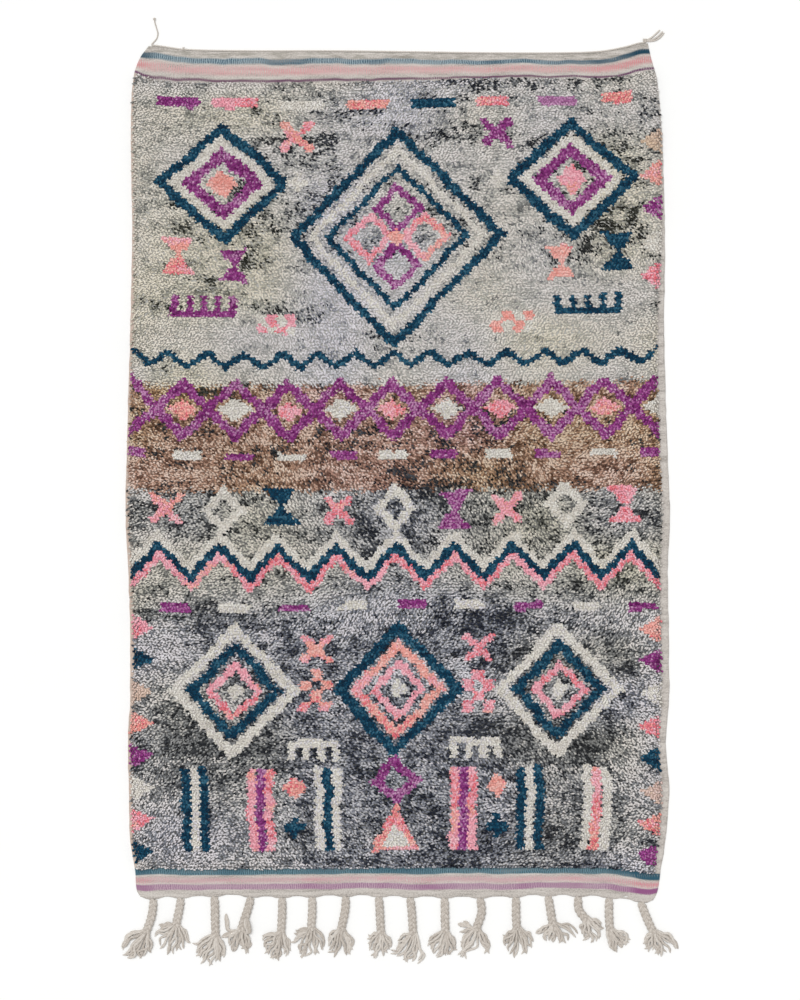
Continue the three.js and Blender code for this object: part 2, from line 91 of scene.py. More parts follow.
# The two ends, from left to right: place across, the edge, and where the pile stops
TOP_END = np.array([
    (-780, 1240, 1171),
    (-728, 1241, 1150),
    (-693, 1238, 1142),
    (-620, 1228, 1138),
    (-432, 1224, 1136),
    (-200, 1224, 1138),
    (50, 1221, 1143),
    (264, 1218, 1149),
    (467, 1218, 1150),
    (580, 1222, 1150),
    (655, 1235, 1157),
    (700, 1247, 1168),
    (760, 1250, 1177),
], float)
BOTTOM_END = np.array([
    (-780, -1218, -1150),
    (-745, -1226, -1148),
    (-722, -1229, -1145),
    (-690, -1225, -1144),
    (-600, -1224, -1148),
    (-500, -1219, -1147),
    (-390, -1224, -1147),
    (-120, -1220, -1144),
    (0, -1223, -1143),
    (180, -1225, -1143),
    (300, -1224, -1143),
    (420, -1219, -1143),
    (590, -1223, -1144),
    (655, -1231, -1149),
    (700, -1236, -1156),
    (725, -1238, -1160),
    (765, -1224, -1166),
], float)

# The plaits: root across, bend, end, the fan's first and last angle from straight down,
# and how far the yarn ends reach at its start, middle and end
PLAITS = [
    (-711, (-718, -1285), (-734, -1331), (-80, 10), (70, 96, 56)),
    (-632, (-638, -1266), (-647, -1311), (-96, 46), (50, 86, 64)),
    (-535, (-533, -1282), (-532, -1343), (-64, 32), (68, 94, 50)),
    (-429, (-443, -1276), (-458, -1322), (-52, 40), (50, 80, 56)),
    (-339, (-339, -1280), (-342, -1334), (-80, 33), (50, 84, 58)),
    (-252, (-252, -1280), (-255, -1322), (-90, 43), (42, 88, 60)),
    (-154, (-157, -1268), (-168, -1322), (-58, 42), (46, 86, 64)),
    (-59, (-55, -1282), (-52, -1334), (-74, 42), (38, 74, 47)),
    (32, (38, -1282), (41, -1334), (-74, 13), (46, 92, 86)),
    (132, (133, -1282), (135, -1331), (-64, 40), (60, 80, 52)),
    (235, (239, -1270), (223, -1322), (-82, 48), (44, 98, 66)),
    (339, (339, -1270), (342, -1320), (-60, 54), (46, 86, 66)),
    (432, (439, -1266), (447, -1308), (-66, 72), (56, 48, 78)),
    (519, (521, -1262), (545, -1292), (-30, 72), (34, 76, 46)),
    (609, (608, -1268), (612, -1325), (4, 66), (60, 64, 64)),
    (700, (717, -1284), (739, -1331), (-56, 70), (36, 66, 88)),
]
PLAIT_ROOTS = np.array([plait[0] for plait in PLAITS], float)

# Locks that have turned back: the plait's number, two angles, two lengths, spread and lift
STRAYS = [
    (4, (-92, -170), (36, 54), 3.0, 0.0),
    (4, (-74, -68), (30, 32), 3.6, 0.0),
    (4, (72, 189), (23, 52), 6.2, 9.0),
    (11, (-118, -98), (30, 30), 3.6, 0.0),
    (11, (-122, -136), (24, 22), 3.6, 0.0),
]

# One plait: three flat strands that pass over each other
PLAIT_WIDTH = 26.0
PLAIT_TURN = 42.0
PLAIT_ROOT_LENGTH = 8.0
STRAND_SHARE = 0.48
STRAND_FLATNESS = 0.56
STRAND_WEAVE = 3.1
STRAND_YARNS = 5
ROUTE_POINTS = 56

# One tassel: its yarn ends, their thickness, and how far they bow out
TASSEL_YARNS = 18
TASSEL_YARN_RADIUS = (2.9, 4.0)
TASSEL_YARN_FLATNESS = 0.64
TASSEL_YARN_SWELL = 0.16
TASSEL_YARN_RINGS = 18
TASSEL_TAPER = 9.0
TASSEL_ROOT_DEPTH = 8.0
TASSEL_ROOT_WIDTH = 17.0
TASSEL_BOW = 42.0

# The heading cord and its tails
HEADING_RADIUS = 2.6
HEADING_SPAN = (-717.0, 712.0)
HEADING_YARN_RADIUS = 1.5
HEADING_YARN_SWING = 1.05
HEADING_TWIST = 11.0
LEFT_TAIL = [(-717, 1246), (-703, 1262), (-699, 1277), (-703, 1293), (-708, 1311), (-709, 1319)]
LEFT_TAIL_RADIUS = 1.9
RIGHT_TAIL_RADIUS = 2.5
RIGHT_TAILS = [
    [(713, 1257), (731, 1265), (757, 1288)],
    [(715, 1256), (738, 1261), (754, 1272), (765, 1284)],
    [(716, 1255), (740, 1257), (757, 1266), (769, 1280)],
]

# Wisps of loose wool that cling to the heading cord
WISPS_PLACE = (-623.0, 1231.0)

# Knots: how many across and up, the yarn ends that each leaves, and how far apart those are
KNOT_COLUMNS = 150
KNOT_ROWS = 258
YARNS_PER_KNOT = 3
PILE_WIDTH = 1540.0
YARN_PITCH = PILE_WIDTH / KNOT_COLUMNS / YARNS_PER_KNOT

# Half the knot chart's width and length, which the pile's own outline stretches a little
CHART_HALF_WIDTH = 765.0
CHART_HALF_LENGTH = 1143.0

# The cloth's grid, how far its long edges waver where the weft turns back, how far in its
# edges round off, and about how long its flatwoven ends are
CLOTH_SPAN = (-770.0, 765.0)
CLOTH_COLUMNS = 150
CLOTH_END_ROWS = 25
CLOTH_MIDDLE_ROWS = 110
WEFT_RETURN_BUMP = 2.5
CLOTH_EDGE_ROUND = 4.0
CLOTH_END_LENGTH = 80.0

# The field's zones from the top down: where each starts, how much of its flecks' order is
# chance, and the shares of its darker wools
FIELD_TOPS = (262.0, -46.0, -400.0)
FLECK_CHANCE = np.array([0.22, 0.26, 0.34, 0.36])
FIELD_SHARES = np.array([
    (0.012, 0.165, 0.47),
    (0.065, 0.26, 0.62),
    (0.14, 0.42, 0.84),
    (0.31, 0.74, 0.965),
])

# Broad lots of wool in the field: left, right, bottom and top, and how much paler each is,
# and how wide the change is from one to the next
TONE_LOTS = [
    (-800, 800, 260, 600, 0.16),
    (-230, 230, 600, 1150, -0.10),
    (-800, -440, 560, 1150, 0.12),
    (-800, -300, -240, -46, 0.10),
    (-120, 800, -240, -46, -0.12),
    (200, 800, -400, -240, 0.05),
    (-200, 220, -700, -400, 0.22),
    (260, 800, -1150, -400, 0.12),
    (650, 800, -1150, -400, 0.3),
    (-800, -640, -620, -400, 0.3),
    (-800, -280, -1150, -900, 0.36),
]
LOT_EDGE = 90.0

# The pile's dense foot: how far below the top it ends, how far in from the rim it slopes
# up, and how far the pile leans out over the selvedges
FOOT_DEPTH = 3.2
RIM_SLOPE = 16.0
PILE_OVERHANG = 6.0

# The yarn ends that stand out of the foot: where they stand, how they lie, and their shape
YARN_STAGGER = 2.0
YARN_SCATTER = 1.5
YARN_ROOT_DEPTH = 0.5
YARN_RIM_DROP = 3.0
YARN_SWIRL = 2.4
YARN_HEADING_SPREAD = 0.34
UNDYED_YARN = {"length": (11.0, 15.0), "half_width": (2.8, 3.6)}
DYED_YARN = {"length": (8.5, 11.0), "half_width": (4.2, 5.2)}
YARN_CROWN = 0.5
YARN_DROP = 0.45
YARN_TIP_DROP = 1.0
YARN_UNEVENNESS = 0.3

# A dyed knot's pad: half its width and height, how far it stands above the foot, and its look
PAD_HALF = (5.3, 4.6)
PAD_RISE = 0.7
PAD_LOOK = {"shade": 0.35, "cool": 0.5}

# Half the floor's width, and the picture's middle, its height in pixels and the size of one
FLOOR_HALF = 60000.0
PICTURE_MIDDLE = (3.0, -75.0)
PICTURE_HEIGHT = 1000
PIXEL = 2.9


# Curves read off the tables

def along(rows, column, place):
    """The smooth curve through one column of a table, read at places along its first."""
    xs, ys = rows[:, 0], rows[:, column]
    before = np.maximum(np.arange(len(xs)) - 1, 0)
    after = np.minimum(np.arange(len(xs)) + 1, len(xs) - 1)
    slopes = (ys[after] - ys[before]) / (xs[after] - xs[before])
    i = np.clip(np.searchsorted(xs, place) - 1, 0, len(xs) - 2)
    run = xs[i + 1] - xs[i]
    t = np.clip((place - xs[i]) / run, 0, 1)
    t2, t3 = t * t, t * t * t
    return (
        (2 * t3 - 3 * t2 + 1) * ys[i]
        + (t3 - 2 * t2 + t) * run * slopes[i]
        + (3 * t2 - 2 * t3) * ys[i + 1]
        + (t3 - t2) * run * slopes[i + 1]
    )


def curves(rows):
    """A function of the first column for each of the others."""
    return [functools.partial(along, rows, column) for column in range(1, rows.shape[1])]


left_side, right_side, left_selvedge, right_selvedge = curves(SIDES)
top_edge, pile_upper_end = curves(TOP_END)
bottom_line, pile_lower_end = curves(BOTTOM_END)


def lerp(a, b, share):
    return a + (b - a) * share


def smooth_step(x, low, high):
    t = np.clip((x - low) / (high - low), 0, 1)
    return t * t * (3 - 2 * t)


def bottom_edge(x):
    nearest = np.abs(np.asarray(x, float)[..., None] - PLAIT_ROOTS).min(-1)
    arch = smooth_step(nearest, WARP_ARCH_FLAT, WARP_ARCH_FLAT + WARP_ARCH_RUN)
    return bottom_line(x) - WARP_ARCH_DEPTH * (1 - arch)


def lumps(x, y, lump):
    across = 2 * np.pi * x / lump[0]
    up = 2 * np.pi * y / lump[1]
    return lump[2] * np.sin(across + np.sin(up * 0.6)) * np.cos(up - across * 0.4)


def pile_top(x, y):
    return PILE_HEIGHT + PILE_LUMP * (lumps(x, y, BROAD_LUMP) + lumps(x, y, SMALL_LUMP))


def value_noise(x, y, cell_x, cell_y, number):
    """Smooth noise from 0 to 1, its blotches about cell_x wide and cell_y high."""
    size = 128
    lattice = np.random.default_rng(SEED + number).random((size, size))
    u, v = np.asarray(x) / cell_x, np.asarray(y) / cell_y
    i, j = np.floor(u).astype(int), np.floor(v).astype(int)
    fu, fv = u - i, v - j
    fu, fv = fu * fu * (3 - 2 * fu), fv * fv * (3 - 2 * fv)

    def at(a, b):
        return lattice[a % size, b % size]

    low = lerp(at(i, j), at(i + 1, j), fu)
    high = lerp(at(i, j + 1), at(i + 1, j + 1), fu)
    return lerp(low, high, fv)


def evened(values):
    """The same order, spread evenly from 0 to 1."""
    rank = np.empty(len(values))
    rank[np.argsort(values, kind="stable")] = np.arange(len(values))
    return (rank + 0.5) / len(values)


def unit(vectors):
    return vectors / np.linalg.norm(vectors, axis=-1, keepdims=True)


def distances(path):
    """How far along a path each of its points is."""
    return np.concatenate([[0], np.cumsum(np.linalg.norm(np.diff(path, axis=0), axis=1))])


# Meshes

def make_piece(name, points, faces, material, values, uv):
    """A smooth mesh from points in millimetres, faces of equal size, and values for its points."""
    faces = np.asarray(faces, np.int32)
    corners = faces.ravel()
    mesh = bpy.data.meshes.new(name)
    mesh.vertices.add(len(points))
    mesh.vertices.foreach_set("co", (np.asarray(points) * MM).astype(np.float32).ravel())
    mesh.loops.add(len(corners))
    mesh.loops.foreach_set("vertex_index", corners)
    mesh.polygons.add(len(faces))
    mesh.polygons.foreach_set("loop_start", np.arange(len(faces), dtype=np.int32) * faces.shape[1])
    mesh.polygons.foreach_set("use_smooth", np.ones(len(faces), bool))
    mesh.update(calc_edges=True)
    for key, column in values.items():
        layer = mesh.attributes.new(key, "FLOAT", "POINT")
        layer.data.foreach_set("value", np.asarray(column, np.float32))
    layer = mesh.uv_layers.new(name="OFBake")
    layer.data.foreach_set("uv", np.asarray(uv, np.float32).ravel())
    mesh.materials.append(material)
    piece = bpy.data.objects.new(name, mesh)
    bpy.context.scene.collection.objects.link(piece)
    return piece


# Materials, with colours in sRGB from 0 to 255

def linear(colour):
    shares = [channel / 255 for channel in colour]
    return [s / 12.92 if s <= 0.04045 else ((s + 0.055) / 1.055) ** 2.4 for s in shares] + [1.0]


# The sockets where a mix node takes two colours and gives the result
MIX_INPUTS = (6, 7)
MIX_OUTPUT = 2


class Wool:
    """A node material for wool, with the few helpers that its look needs."""

    def __init__(self, name, roughness=0.95, sheen=0.15):
        self.material = bpy.data.materials.new(name)
        self.material.use_nodes = True
        self.tree = self.material.node_tree
        self.shader = self.tree.nodes["Principled BSDF"]
        self.feed(self.shader, {
            "Roughness": roughness, "Specular IOR Level": 0.15,
            "Sheen Weight": sheen, "Sheen Roughness": 0.5,
        })

    def feed(self, node, inputs):
        """Gives each of these inputs a value, or another node's output."""
        for key, value in inputs.items():
            if isinstance(value, bpy.types.NodeSocket):
                self.tree.links.new(value, node.inputs[key])
            else:
                node.inputs[key].default_value = value

    def node(self, kind, inputs, output=0, **settings):
        """The output of a new node."""
        made = self.tree.nodes.new(kind)
        for key, value in settings.items():
            setattr(made, key, value)
        self.feed(made, inputs)
        return made.outputs[output]

    def attribute(self, name):
        return self.node("ShaderNodeAttribute", {}, "Fac", attribute_name=name)

    def places(self, stretch):
        coordinates = self.node("ShaderNodeTexCoord", {}, "Object")
        return self.node("ShaderNodeMapping", {"Vector": coordinates, "Scale": stretch})

    def noise(self, scale, stretch=(1, 1, 1), detail=2.0, roughness=0.5):
        return self.node("ShaderNodeTexNoise", {
            "Vector": self.places(stretch), "Scale": scale, "Detail": detail, "Roughness": roughness,
        }, "Fac")

    def wave(self, direction, scale, distortion):
        inputs = {"Vector": self.places((1, 1, 1)), "Scale": scale, "Distortion": distortion}
        return self.node("ShaderNodeTexWave", inputs, "Fac", bands_direction=direction)

    def maths(self, operation, *values, clamp=False):
        inputs = dict(enumerate(values))
        return self.node("ShaderNodeMath", inputs, operation=operation, use_clamp=clamp)

    def sum(self, a, b, share, clamp=True):
        """a plus share times b less a half, kept between 0 and 1 where clamp is set."""
        return self.maths("MULTIPLY_ADD", self.maths("SUBTRACT", b, 0.5), share, a, clamp=clamp)

    def times(self, a, b):
        return self.maths("MULTIPLY", a, b, clamp=True)

    def steps(self, factor, low, high):
        """0 below low and 1 above high, or the other way round."""
        inputs = {"Value": factor, "From Min": low, "From Max": high}
        return self.node("ShaderNodeMapRange", inputs, interpolation_type="SMOOTHSTEP")

    def ramp(self, factor, stops):
        colour = self.node("ShaderNodeValToRGB", {"Fac": factor}, "Color")
        elements = colour.node.color_ramp.elements
        while len(elements) < len(stops):
            elements.new(0.5)
        for element, (place, shade) in zip(elements, stops):
            element.position = place
            element.color = linear(shade)
        return colour

    def mixed(self, factor, first, second):
        """Two colours mixed, each a node's output or a plain one."""
        colours = [linear(colour) if isinstance(colour, tuple) else colour for colour in (first, second)]
        inputs = {"Factor": factor, **dict(zip(MIX_INPUTS, colours))}
        return self.node("ShaderNodeMix", inputs, MIX_OUTPUT, data_type="RGBA")

    def paint(self, colour):
        self.feed(self.shader, {"Base Color": colour})

    def relief(self, height, distance, strength=1.0):
        inputs = {"Height": height, "Distance": distance * MM, "Strength": strength}
        self.feed(self.shader, {"Normal": self.node("ShaderNodeBump", inputs)})


# The wools of the pile: their dark, middle and light

WOOLS = {
    "white": ((214, 210, 203), (228, 224, 218), (240, 237, 232)),
    "pale_grey": ((179, 178, 173), (199, 198, 192), (215, 214, 208)),
    "grey": ((104, 107, 107), (140, 143, 142), (172, 173, 170)),
    "black": ((12, 16, 19), (40, 45, 48), (86, 90, 91)),
    "sand": ((206, 178, 160), (226, 201, 185), (240, 220, 206)),
    "tan": ((160, 126, 106), (187, 151, 131), (209, 175, 155)),
    "brown": ((74, 50, 38), (110, 80, 64), (144, 110, 92)),
    "cream": ((212, 205, 194), (233, 228, 219), (246, 243, 236)),
    "teal": ((0, 26, 50), (0, 66, 94), (66, 118, 142)),
    "plum": ((96, 14, 84), (156, 62, 140), (190, 118, 174)),
    "mauve": ((164, 98, 150), (196, 136, 182), (216, 170, 204)),
    "coral": ((240, 150, 138), (254, 185, 175), (255, 212, 204)),
    "pink": ((240, 150, 166), (254, 184, 197), (255, 212, 219)),
    "rose": ((220, 98, 114), (247, 130, 140), (254, 172, 175)),
}
NAMES = list(WOOLS)
GROUND = len(NAMES)

# The undyed mixes from dark to light, and the warm and the cool tint that they lean to
GREY_MIX = ("black", "grey", "pale_grey", "white")
BROWN_MIX = ("black", "brown", "tan", "sand")
GREY_TINTS = ((5, 1, -10), (-2, -2, 9))
BROWN_TINTS = ((-2, 1, -18), (3, -3, 8))


def pile_wool(name):
    wool = Wool("wool_" + name, sheen=0.04)
    shade = wool.sum(wool.attribute("shade"), wool.noise(900.0), 0.5)

    def tinted(tint):
        colours = [tuple(part + shift for part, shift in zip(colour, tint)) for colour in WOOLS[name]]
        return wool.ramp(shade, list(zip((0.0, 0.5, 1.0), colours)))

    if name in GREY_MIX or name in BROWN_MIX:
        warm, cold = GREY_TINTS if name in GREY_MIX else BROWN_TINTS
        wool.paint(wool.mixed(wool.attribute("cool"), tinted(warm), tinted(cold)))
    else:
        wool.paint(tinted((0, 0, 0)))
    wool.relief(wool.noise(1400.0, (1, 1, 0.3)), 0.4)
    return wool.material


# The knot chart: traditional motifs in rows, in places on a plain field

class Chart:
    """Which wool each knot has. Every motif is drawn over those before it."""

    def __init__(self, x, y):
        self.x, self.y = x, y
        self.wool = np.full(len(x), GROUND)

    def fill(self, mask, wool):
        self.wool[mask] = NAMES.index(wool)

    def away(self, cx, cy):
        return self.x - cx, self.y - cy

    def bar(self, cx, cy, width, height, wool):
        dx, dy = self.away(cx, cy)
        self.fill((np.abs(dx) < width / 2) & (np.abs(dy) < height / 2), wool)

    def lozenge(self, cx, cy, half_width, half_height, wool, line=None):
        """A filled lozenge, or its outline where it has a line width."""
        dx, dy = self.away(cx, cy)
        share = np.abs(dx) / half_width + np.abs(dy) / half_height
        if line is None:
            self.fill(share < 1, wool)
            return
        scale = 1 / math.hypot(1 / half_width, 1 / half_height)
        self.fill(np.abs(share - 1) * scale < line / 2, wool)

    def nest(self, cx, cy, rings):
        """Lozenges one in the other: half width, half height, wool, and line width or None."""
        for ring in rings:
            self.lozenge(cx, cy, *ring)

    def zigzag(self, cy, amplitude, period, line, wool, phase=0.0):
        turn = (self.x / period + phase) % 1.0
        wave = amplitude * (4 * np.abs(turn - 0.5) - 1)
        slope = 4 * amplitude / period
        off = np.abs(self.y - cy - wave) / math.hypot(1, slope)
        self.fill(off < line / 2, wool)

    def saltire(self, cx, cy, half, line, wool):
        dx, dy = self.away(cx, cy)
        inside = np.maximum(np.abs(dx), np.abs(dy)) < half
        self.fill(inside & (np.abs(np.abs(dx) - np.abs(dy)) < line * 0.7), wool)

    def plus(self, cx, cy, half, line, wool):
        self.bar(cx, cy, 2 * half, line, wool)
        self.bar(cx, cy, line, 2 * half, wool)

    def comb(self, cx, cy, teeth, pitch, height, line, wool, up=1):
        width = (teeth - 1) * pitch + line
        self.bar(cx, cy, width, line, wool)
        for k in range(teeth):
            x = cx + (k - (teeth - 1) / 2) * pitch
            self.bar(x, cy + up * height / 2, line, height, wool)

    def hourglass(self, cx, cy, half_width, half_height, wool):
        dx, dy = self.away(cx, cy)
        inside = np.abs(dy) < half_height
        self.fill(inside & (np.abs(dx) < half_width * np.abs(dy) / half_height + 5), wool)

    def triangle(self, cx, cy, width, height, wool, sideways=0):
        """Its base is centred on the place, and it points up, or sideways where that is set."""
        dx, dy = self.away(cx, cy)
        if sideways:
            dx, dy = dy, sideways * dx
        level = dy / height
        self.fill((level > 0) & (level < 1) & (np.abs(dx) < (1 - level) * width / 2), wool)

    def checks(self, cx, cy, columns, rows, block, wool, other=None):
        dx, dy = self.away(cx, cy)
        i = np.floor(dx / block + columns / 2).astype(int)
        j = np.floor(dy / block + rows / 2).astype(int)
        inside = (i >= 0) & (i < columns) & (j >= 0) & (j < rows)
        self.fill(inside & ((i + j) % 2 == 0), wool)
        if other:
            self.fill(inside & ((i + j) % 2 == 1), other)


def draw_top_field(chart, jitter):
    bars = ["plum", "pink", "cream", "coral", "teal", "pink", "mauve", "coral"]
    for k, wool in enumerate(bars):
        chart.bar(-640 + 183 * k + jitter(14), 1082 + jitter(10), 110 + jitter(22), 28, wool)
    for cx, inner in ((-505, "coral"), (505, "pink")):
        chart.nest(cx, 850, [
            (182, 162, "teal", 26), (138, 122, "cream", 22), (98, 86, "plum", 30), (50, 44, inner),
        ])
    for half, wool, line in ((302, "teal", 24), (250, "cream", 18), (200, "teal", 16)):
        chart.lozenge(0, 690, half, half * 1.02, wool, line)
    for dx, dy in ((0, 82), (0, -82), (-82, 0), (82, 0)):
        chart.lozenge(dx, 690 + dy, 62, 62, "pink" if dx else "plum", 20)
    chart.lozenge(0, 690, 28, 28, "coral")
    for cx, wool in ((-290, "coral"), (290, "plum")):
        chart.saltire(cx, 985, 44, 24, wool)
        chart.plus(cx, 850, 30, 20, "cream")
    for cx, wool, other in ((-640, "coral", "plum"), (640, "teal", "coral")):
        chart.hourglass(cx, 640, 46, 54, wool)
        chart.hourglass(cx * 0.74, 610, 40, 48, other)
    for side, comb, checks in ((-1, "plum", "pink"), (1, "teal", "coral")):
        chart.comb(560 * side, 470, 5, 44, 50, 18, comb)
        chart.checks(345 * side, 440, 4, 2, 30, checks, "cream")
    chart.zigzag(336, 20, 110, 18, "teal")


def draw_brown_band(chart, jitter):
    for phase in (0.0, 0.5):
        chart.zigzag(190, 78, 306, 26, "plum", phase=phase)
    for k in range(-2, 3):
        chart.lozenge(306 * k, 190, 46, 29, "pink" if k % 2 else "coral")
        chart.lozenge(306 * k + 153, 190, 50, 31, "cream")
    for k in range(-5, 6):
        chart.bar(150 * k + jitter(8), 58 + jitter(4), 76, 24, "plum" if k % 2 else "cream")


def draw_grey_field(chart, jitter):
    row = ["coral", "cream", "teal", "pink", "cream", "plum", "coral", "cream", "pink"]
    for k, wool in enumerate(row):
        cx, cy = -660 + 165 * k + jitter(8), -95 + jitter(8)
        if k % 3 == 0:
            chart.saltire(cx, cy, 44, 22, wool)
        elif k % 3 == 1:
            chart.lozenge(cx, cy, 48, 54, wool, 24)
        else:
            chart.hourglass(cx, cy, 44, 52, wool)
    for cy, line, wool in ((-222, 22, "cream"), (-252, 23, "teal"), (-280, 18, "pink")):
        chart.zigzag(cy, 46, 170, line, wool)
    for k in range(-4, 5):
        chart.bar(170 * k + 40, -380 + jitter(5), 84, 24, "cream" if k % 2 else "plum")


def draw_dark_field(chart, jitter):
    for cx, wool, inner in ((-470, "cream", "teal"), (0, "teal", "coral"), (470, "cream", "teal")):
        chart.nest(cx, -625, [
            (172, 180, wool, 27), (124, 130, inner, 24), (72, 76, "pink", 20), (28, 30, "cream"),
        ])
    for cx, wool in ((-235, "coral"), (235, "pink")):
        chart.saltire(cx, -500, 42, 21, wool)
        chart.checks(cx, -625, 3, 4, 30, wool)
        chart.comb(cx, -775, 4, 42, 54, 22, "cream", up=-1)
    groups = [
        (-580, "teal", "cream"), (-390, "pink", "plum"), (-195, "cream", "teal"),
        (195, "pink", "plum"), (390, "teal", "cream"), (580, "cream", "coral"),
    ]
    for cx, outer, inner in groups:
        for offset, wool in ((-26, outer), (0, inner), (26, outer)):
            chart.bar(cx + offset, -970, 25, 244, wool)
    chart.triangle(0, -1094, 150, 132, "coral")
    chart.triangle(0, -1082, 88, 76, "cream")
    chart.lozenge(0, -890, 56, 56, "plum", 26)
    for k in (-1, 1):
        chart.lozenge(292 * k, -905, 34, 34, "coral")
        chart.plus(292 * k, -1020, 32, 20, "teal")


def draw_side_triangles(chart):
    colours = ["teal", "pink", "cream", "plum", "coral", "sand"]
    for k, y in enumerate(range(-1090, -400, 92)):
        chart.triangle(-775, y, 80, 74, colours[k % 6], sideways=1)
        chart.triangle(775, y, 80, 74, colours[(k + 3) % 6], sideways=-1)
    for k, y in enumerate(range(560, 1040, 96)):
        chart.triangle(775, y, 90, 70, colours[(k + 1) % 6], sideways=-1)


def knot_wools(x, y):
    """The wool that the chart gives each knot, its lines a little unsteady as hand work is."""
    wobble_x = 12 * (value_noise(x, y, 70, 34, 12) - 0.5)
    wobble_y = 9 * (value_noise(x, y, 60, 40, 13) - 0.5)
    chart = Chart(x + wobble_x, y + wobble_y)
    spread = np.random.default_rng(SEED + 1)

    def jitter(size):
        return float(spread.uniform(-size, size))

    draw_side_triangles(chart)
    draw_top_field(chart, jitter)
    draw_brown_band(chart, jitter)
    draw_grey_field(chart, jitter)
    draw_dark_field(chart, jitter)
    return chart.wool


def lot_tone(x, y):
    """How much paler the undyed mix is where one lot of wool gives way to the next."""
    wander = LOT_EDGE * (value_noise(x, y, 150, 90, 17) - 0.5)
    tone = np.zeros(len(x))
    for left, right, bottom, top, paler in TONE_LOTS:
        within = np.minimum(np.minimum(x - left, right - x), np.minimum(y - bottom, top - y))
        tone += paler * smooth_step(within + wander, -LOT_EDGE / 2, LOT_EDGE / 2)
    return tone


def field_wools(x, y, rng):
    """Undyed wools, mixed as they were spun: flecks, streaks along the rows, broad patches."""
    edge = 14 * (value_noise(x, y, 60, 400, 14) - 0.5)
    zone = sum((y + edge < top).astype(int) for top in FIELD_TOPS)
    clumps = 0.5 * value_noise(x, y, 32, 11, 2) + 0.3 * value_noise(x, y, 14, 5, 16)
    fleck = evened(clumps + FLECK_CHANCE[zone] * rng.random(len(x)))
    streak = value_noise(x, y, 110, 17, 4) - 0.5
    patch = smooth_step(value_noise(x, y, 280, 80, 3), 0.55, 0.9)
    broad = value_noise(x, y, 620, 330, 15) - 0.5
    tone = fleck + 0.28 * streak - 0.3 * patch + 0.2 * broad + lot_tone(x, y)
    band = (tone[:, None] > FIELD_SHARES[zone]).sum(axis=1)
    greys = np.array([NAMES.index(name) for name in GREY_MIX])[band]
    browns = np.array([NAMES.index(name) for name in BROWN_MIX])[band]
    return np.where(zone == 1, browns, greys)


# The pile: every knot leaves yarn ends that lean and bend over

def knot_places():
    """Each knot's place on the rug, and its place on the chart."""
    column, row = np.meshgrid(np.arange(KNOT_COLUMNS), np.arange(KNOT_ROWS))
    across = ((column + 0.25 + 0.5 * (row % 2)) / KNOT_COLUMNS).ravel()
    up = ((row + 0.5) / KNOT_ROWS).ravel()
    chart_x = lerp(-CHART_HALF_WIDTH, CHART_HALF_WIDTH, across)
    chart_y = lerp(-CHART_HALF_LENGTH, CHART_HALF_LENGTH, up)
    x, y = chart_x, chart_y
    for _ in range(3):
        left = left_side(y) + left_selvedge(y) - PILE_OVERHANG
        right = right_side(y) - right_selvedge(y) + PILE_OVERHANG
        x = lerp(left + 3, right - 3, across)
        y = lerp(pile_lower_end(x) + 3, pile_upper_end(x) - 3, up)
    inner = 16 * (across * (1 - across) * up * (1 - up))
    x = x + 9 * inner * (value_noise(x, y, 420, 300, 5) - 0.5)
    y = y + 12 * inner * (value_noise(x, y, 300, 500, 6) - 0.5)
    return x, y, chart_x, chart_y, across, up


def yarn_end_points(root, knee, tip, half_width):
    """Five points to a yarn end: its root, its bend's crown and two flanks, and its tip."""
    level = np.column_stack([tip[:, 1] - knee[:, 1], knee[:, 0] - tip[:, 0], np.zeros(len(tip))])
    level *= half_width[:, None] / np.linalg.norm(level, axis=1, keepdims=True)
    crown = knee + (0, 0, YARN_CROWN)
    left = knee - level - (0, 0, YARN_DROP)
    right = knee + level - (0, 0, YARN_DROP)
    return np.stack([root, crown, left, right, tip], axis=1)


YARN_FACES = np.array([(0, 2, 1), (0, 3, 2), (0, 1, 3), (4, 1, 2), (4, 2, 3), (4, 3, 1)])


def cell_map(cells, total, pattern):
    """Texture places that give each of total like things a cell of its own."""
    side = math.ceil(math.sqrt(total))
    corner = np.column_stack([cells % side, cells // side])
    return ((corner[:, None, :] + 0.08 + 0.84 * pattern[None, :, :]) / side).reshape(-1, 2)


YARN_MAP = np.array([
    point
    for end, turn in ((0.0, 1), (1.0, 0))
    for k in range(3)
    for point in (((k + 0.5) / 3, end), ((k + turn) / 3, 0.5), ((k + 1 - turn) / 3, 0.5))
])


PAD_FACES = np.array([(0, 1, 2), (0, 2, 3)])
PAD_MAP = np.array([(0.0, 0.0), (1.0, 0.0), (1.0, 1.0), (0.0, 0.0), (1.0, 1.0), (0.0, 1.0)])


def knot_pads(x, y, inner):
    """Four points to a dyed knot, on the pile's foot, so its own wool shows between its yarn ends."""
    corners = []
    for side, end in ((-1, -1), (1, -1), (1, 1), (-1, 1)):
        corner_x = x + side * PAD_HALF[0]
        corner_y = y + end * PAD_HALF[1]
        foot = lerp(CLOTH_THICKNESS, pile_top(corner_x, corner_y) - FOOT_DEPTH, inner)
        corners.append(np.column_stack([corner_x, corner_y, foot + PAD_RISE]))
    return np.stack(corners, axis=1)


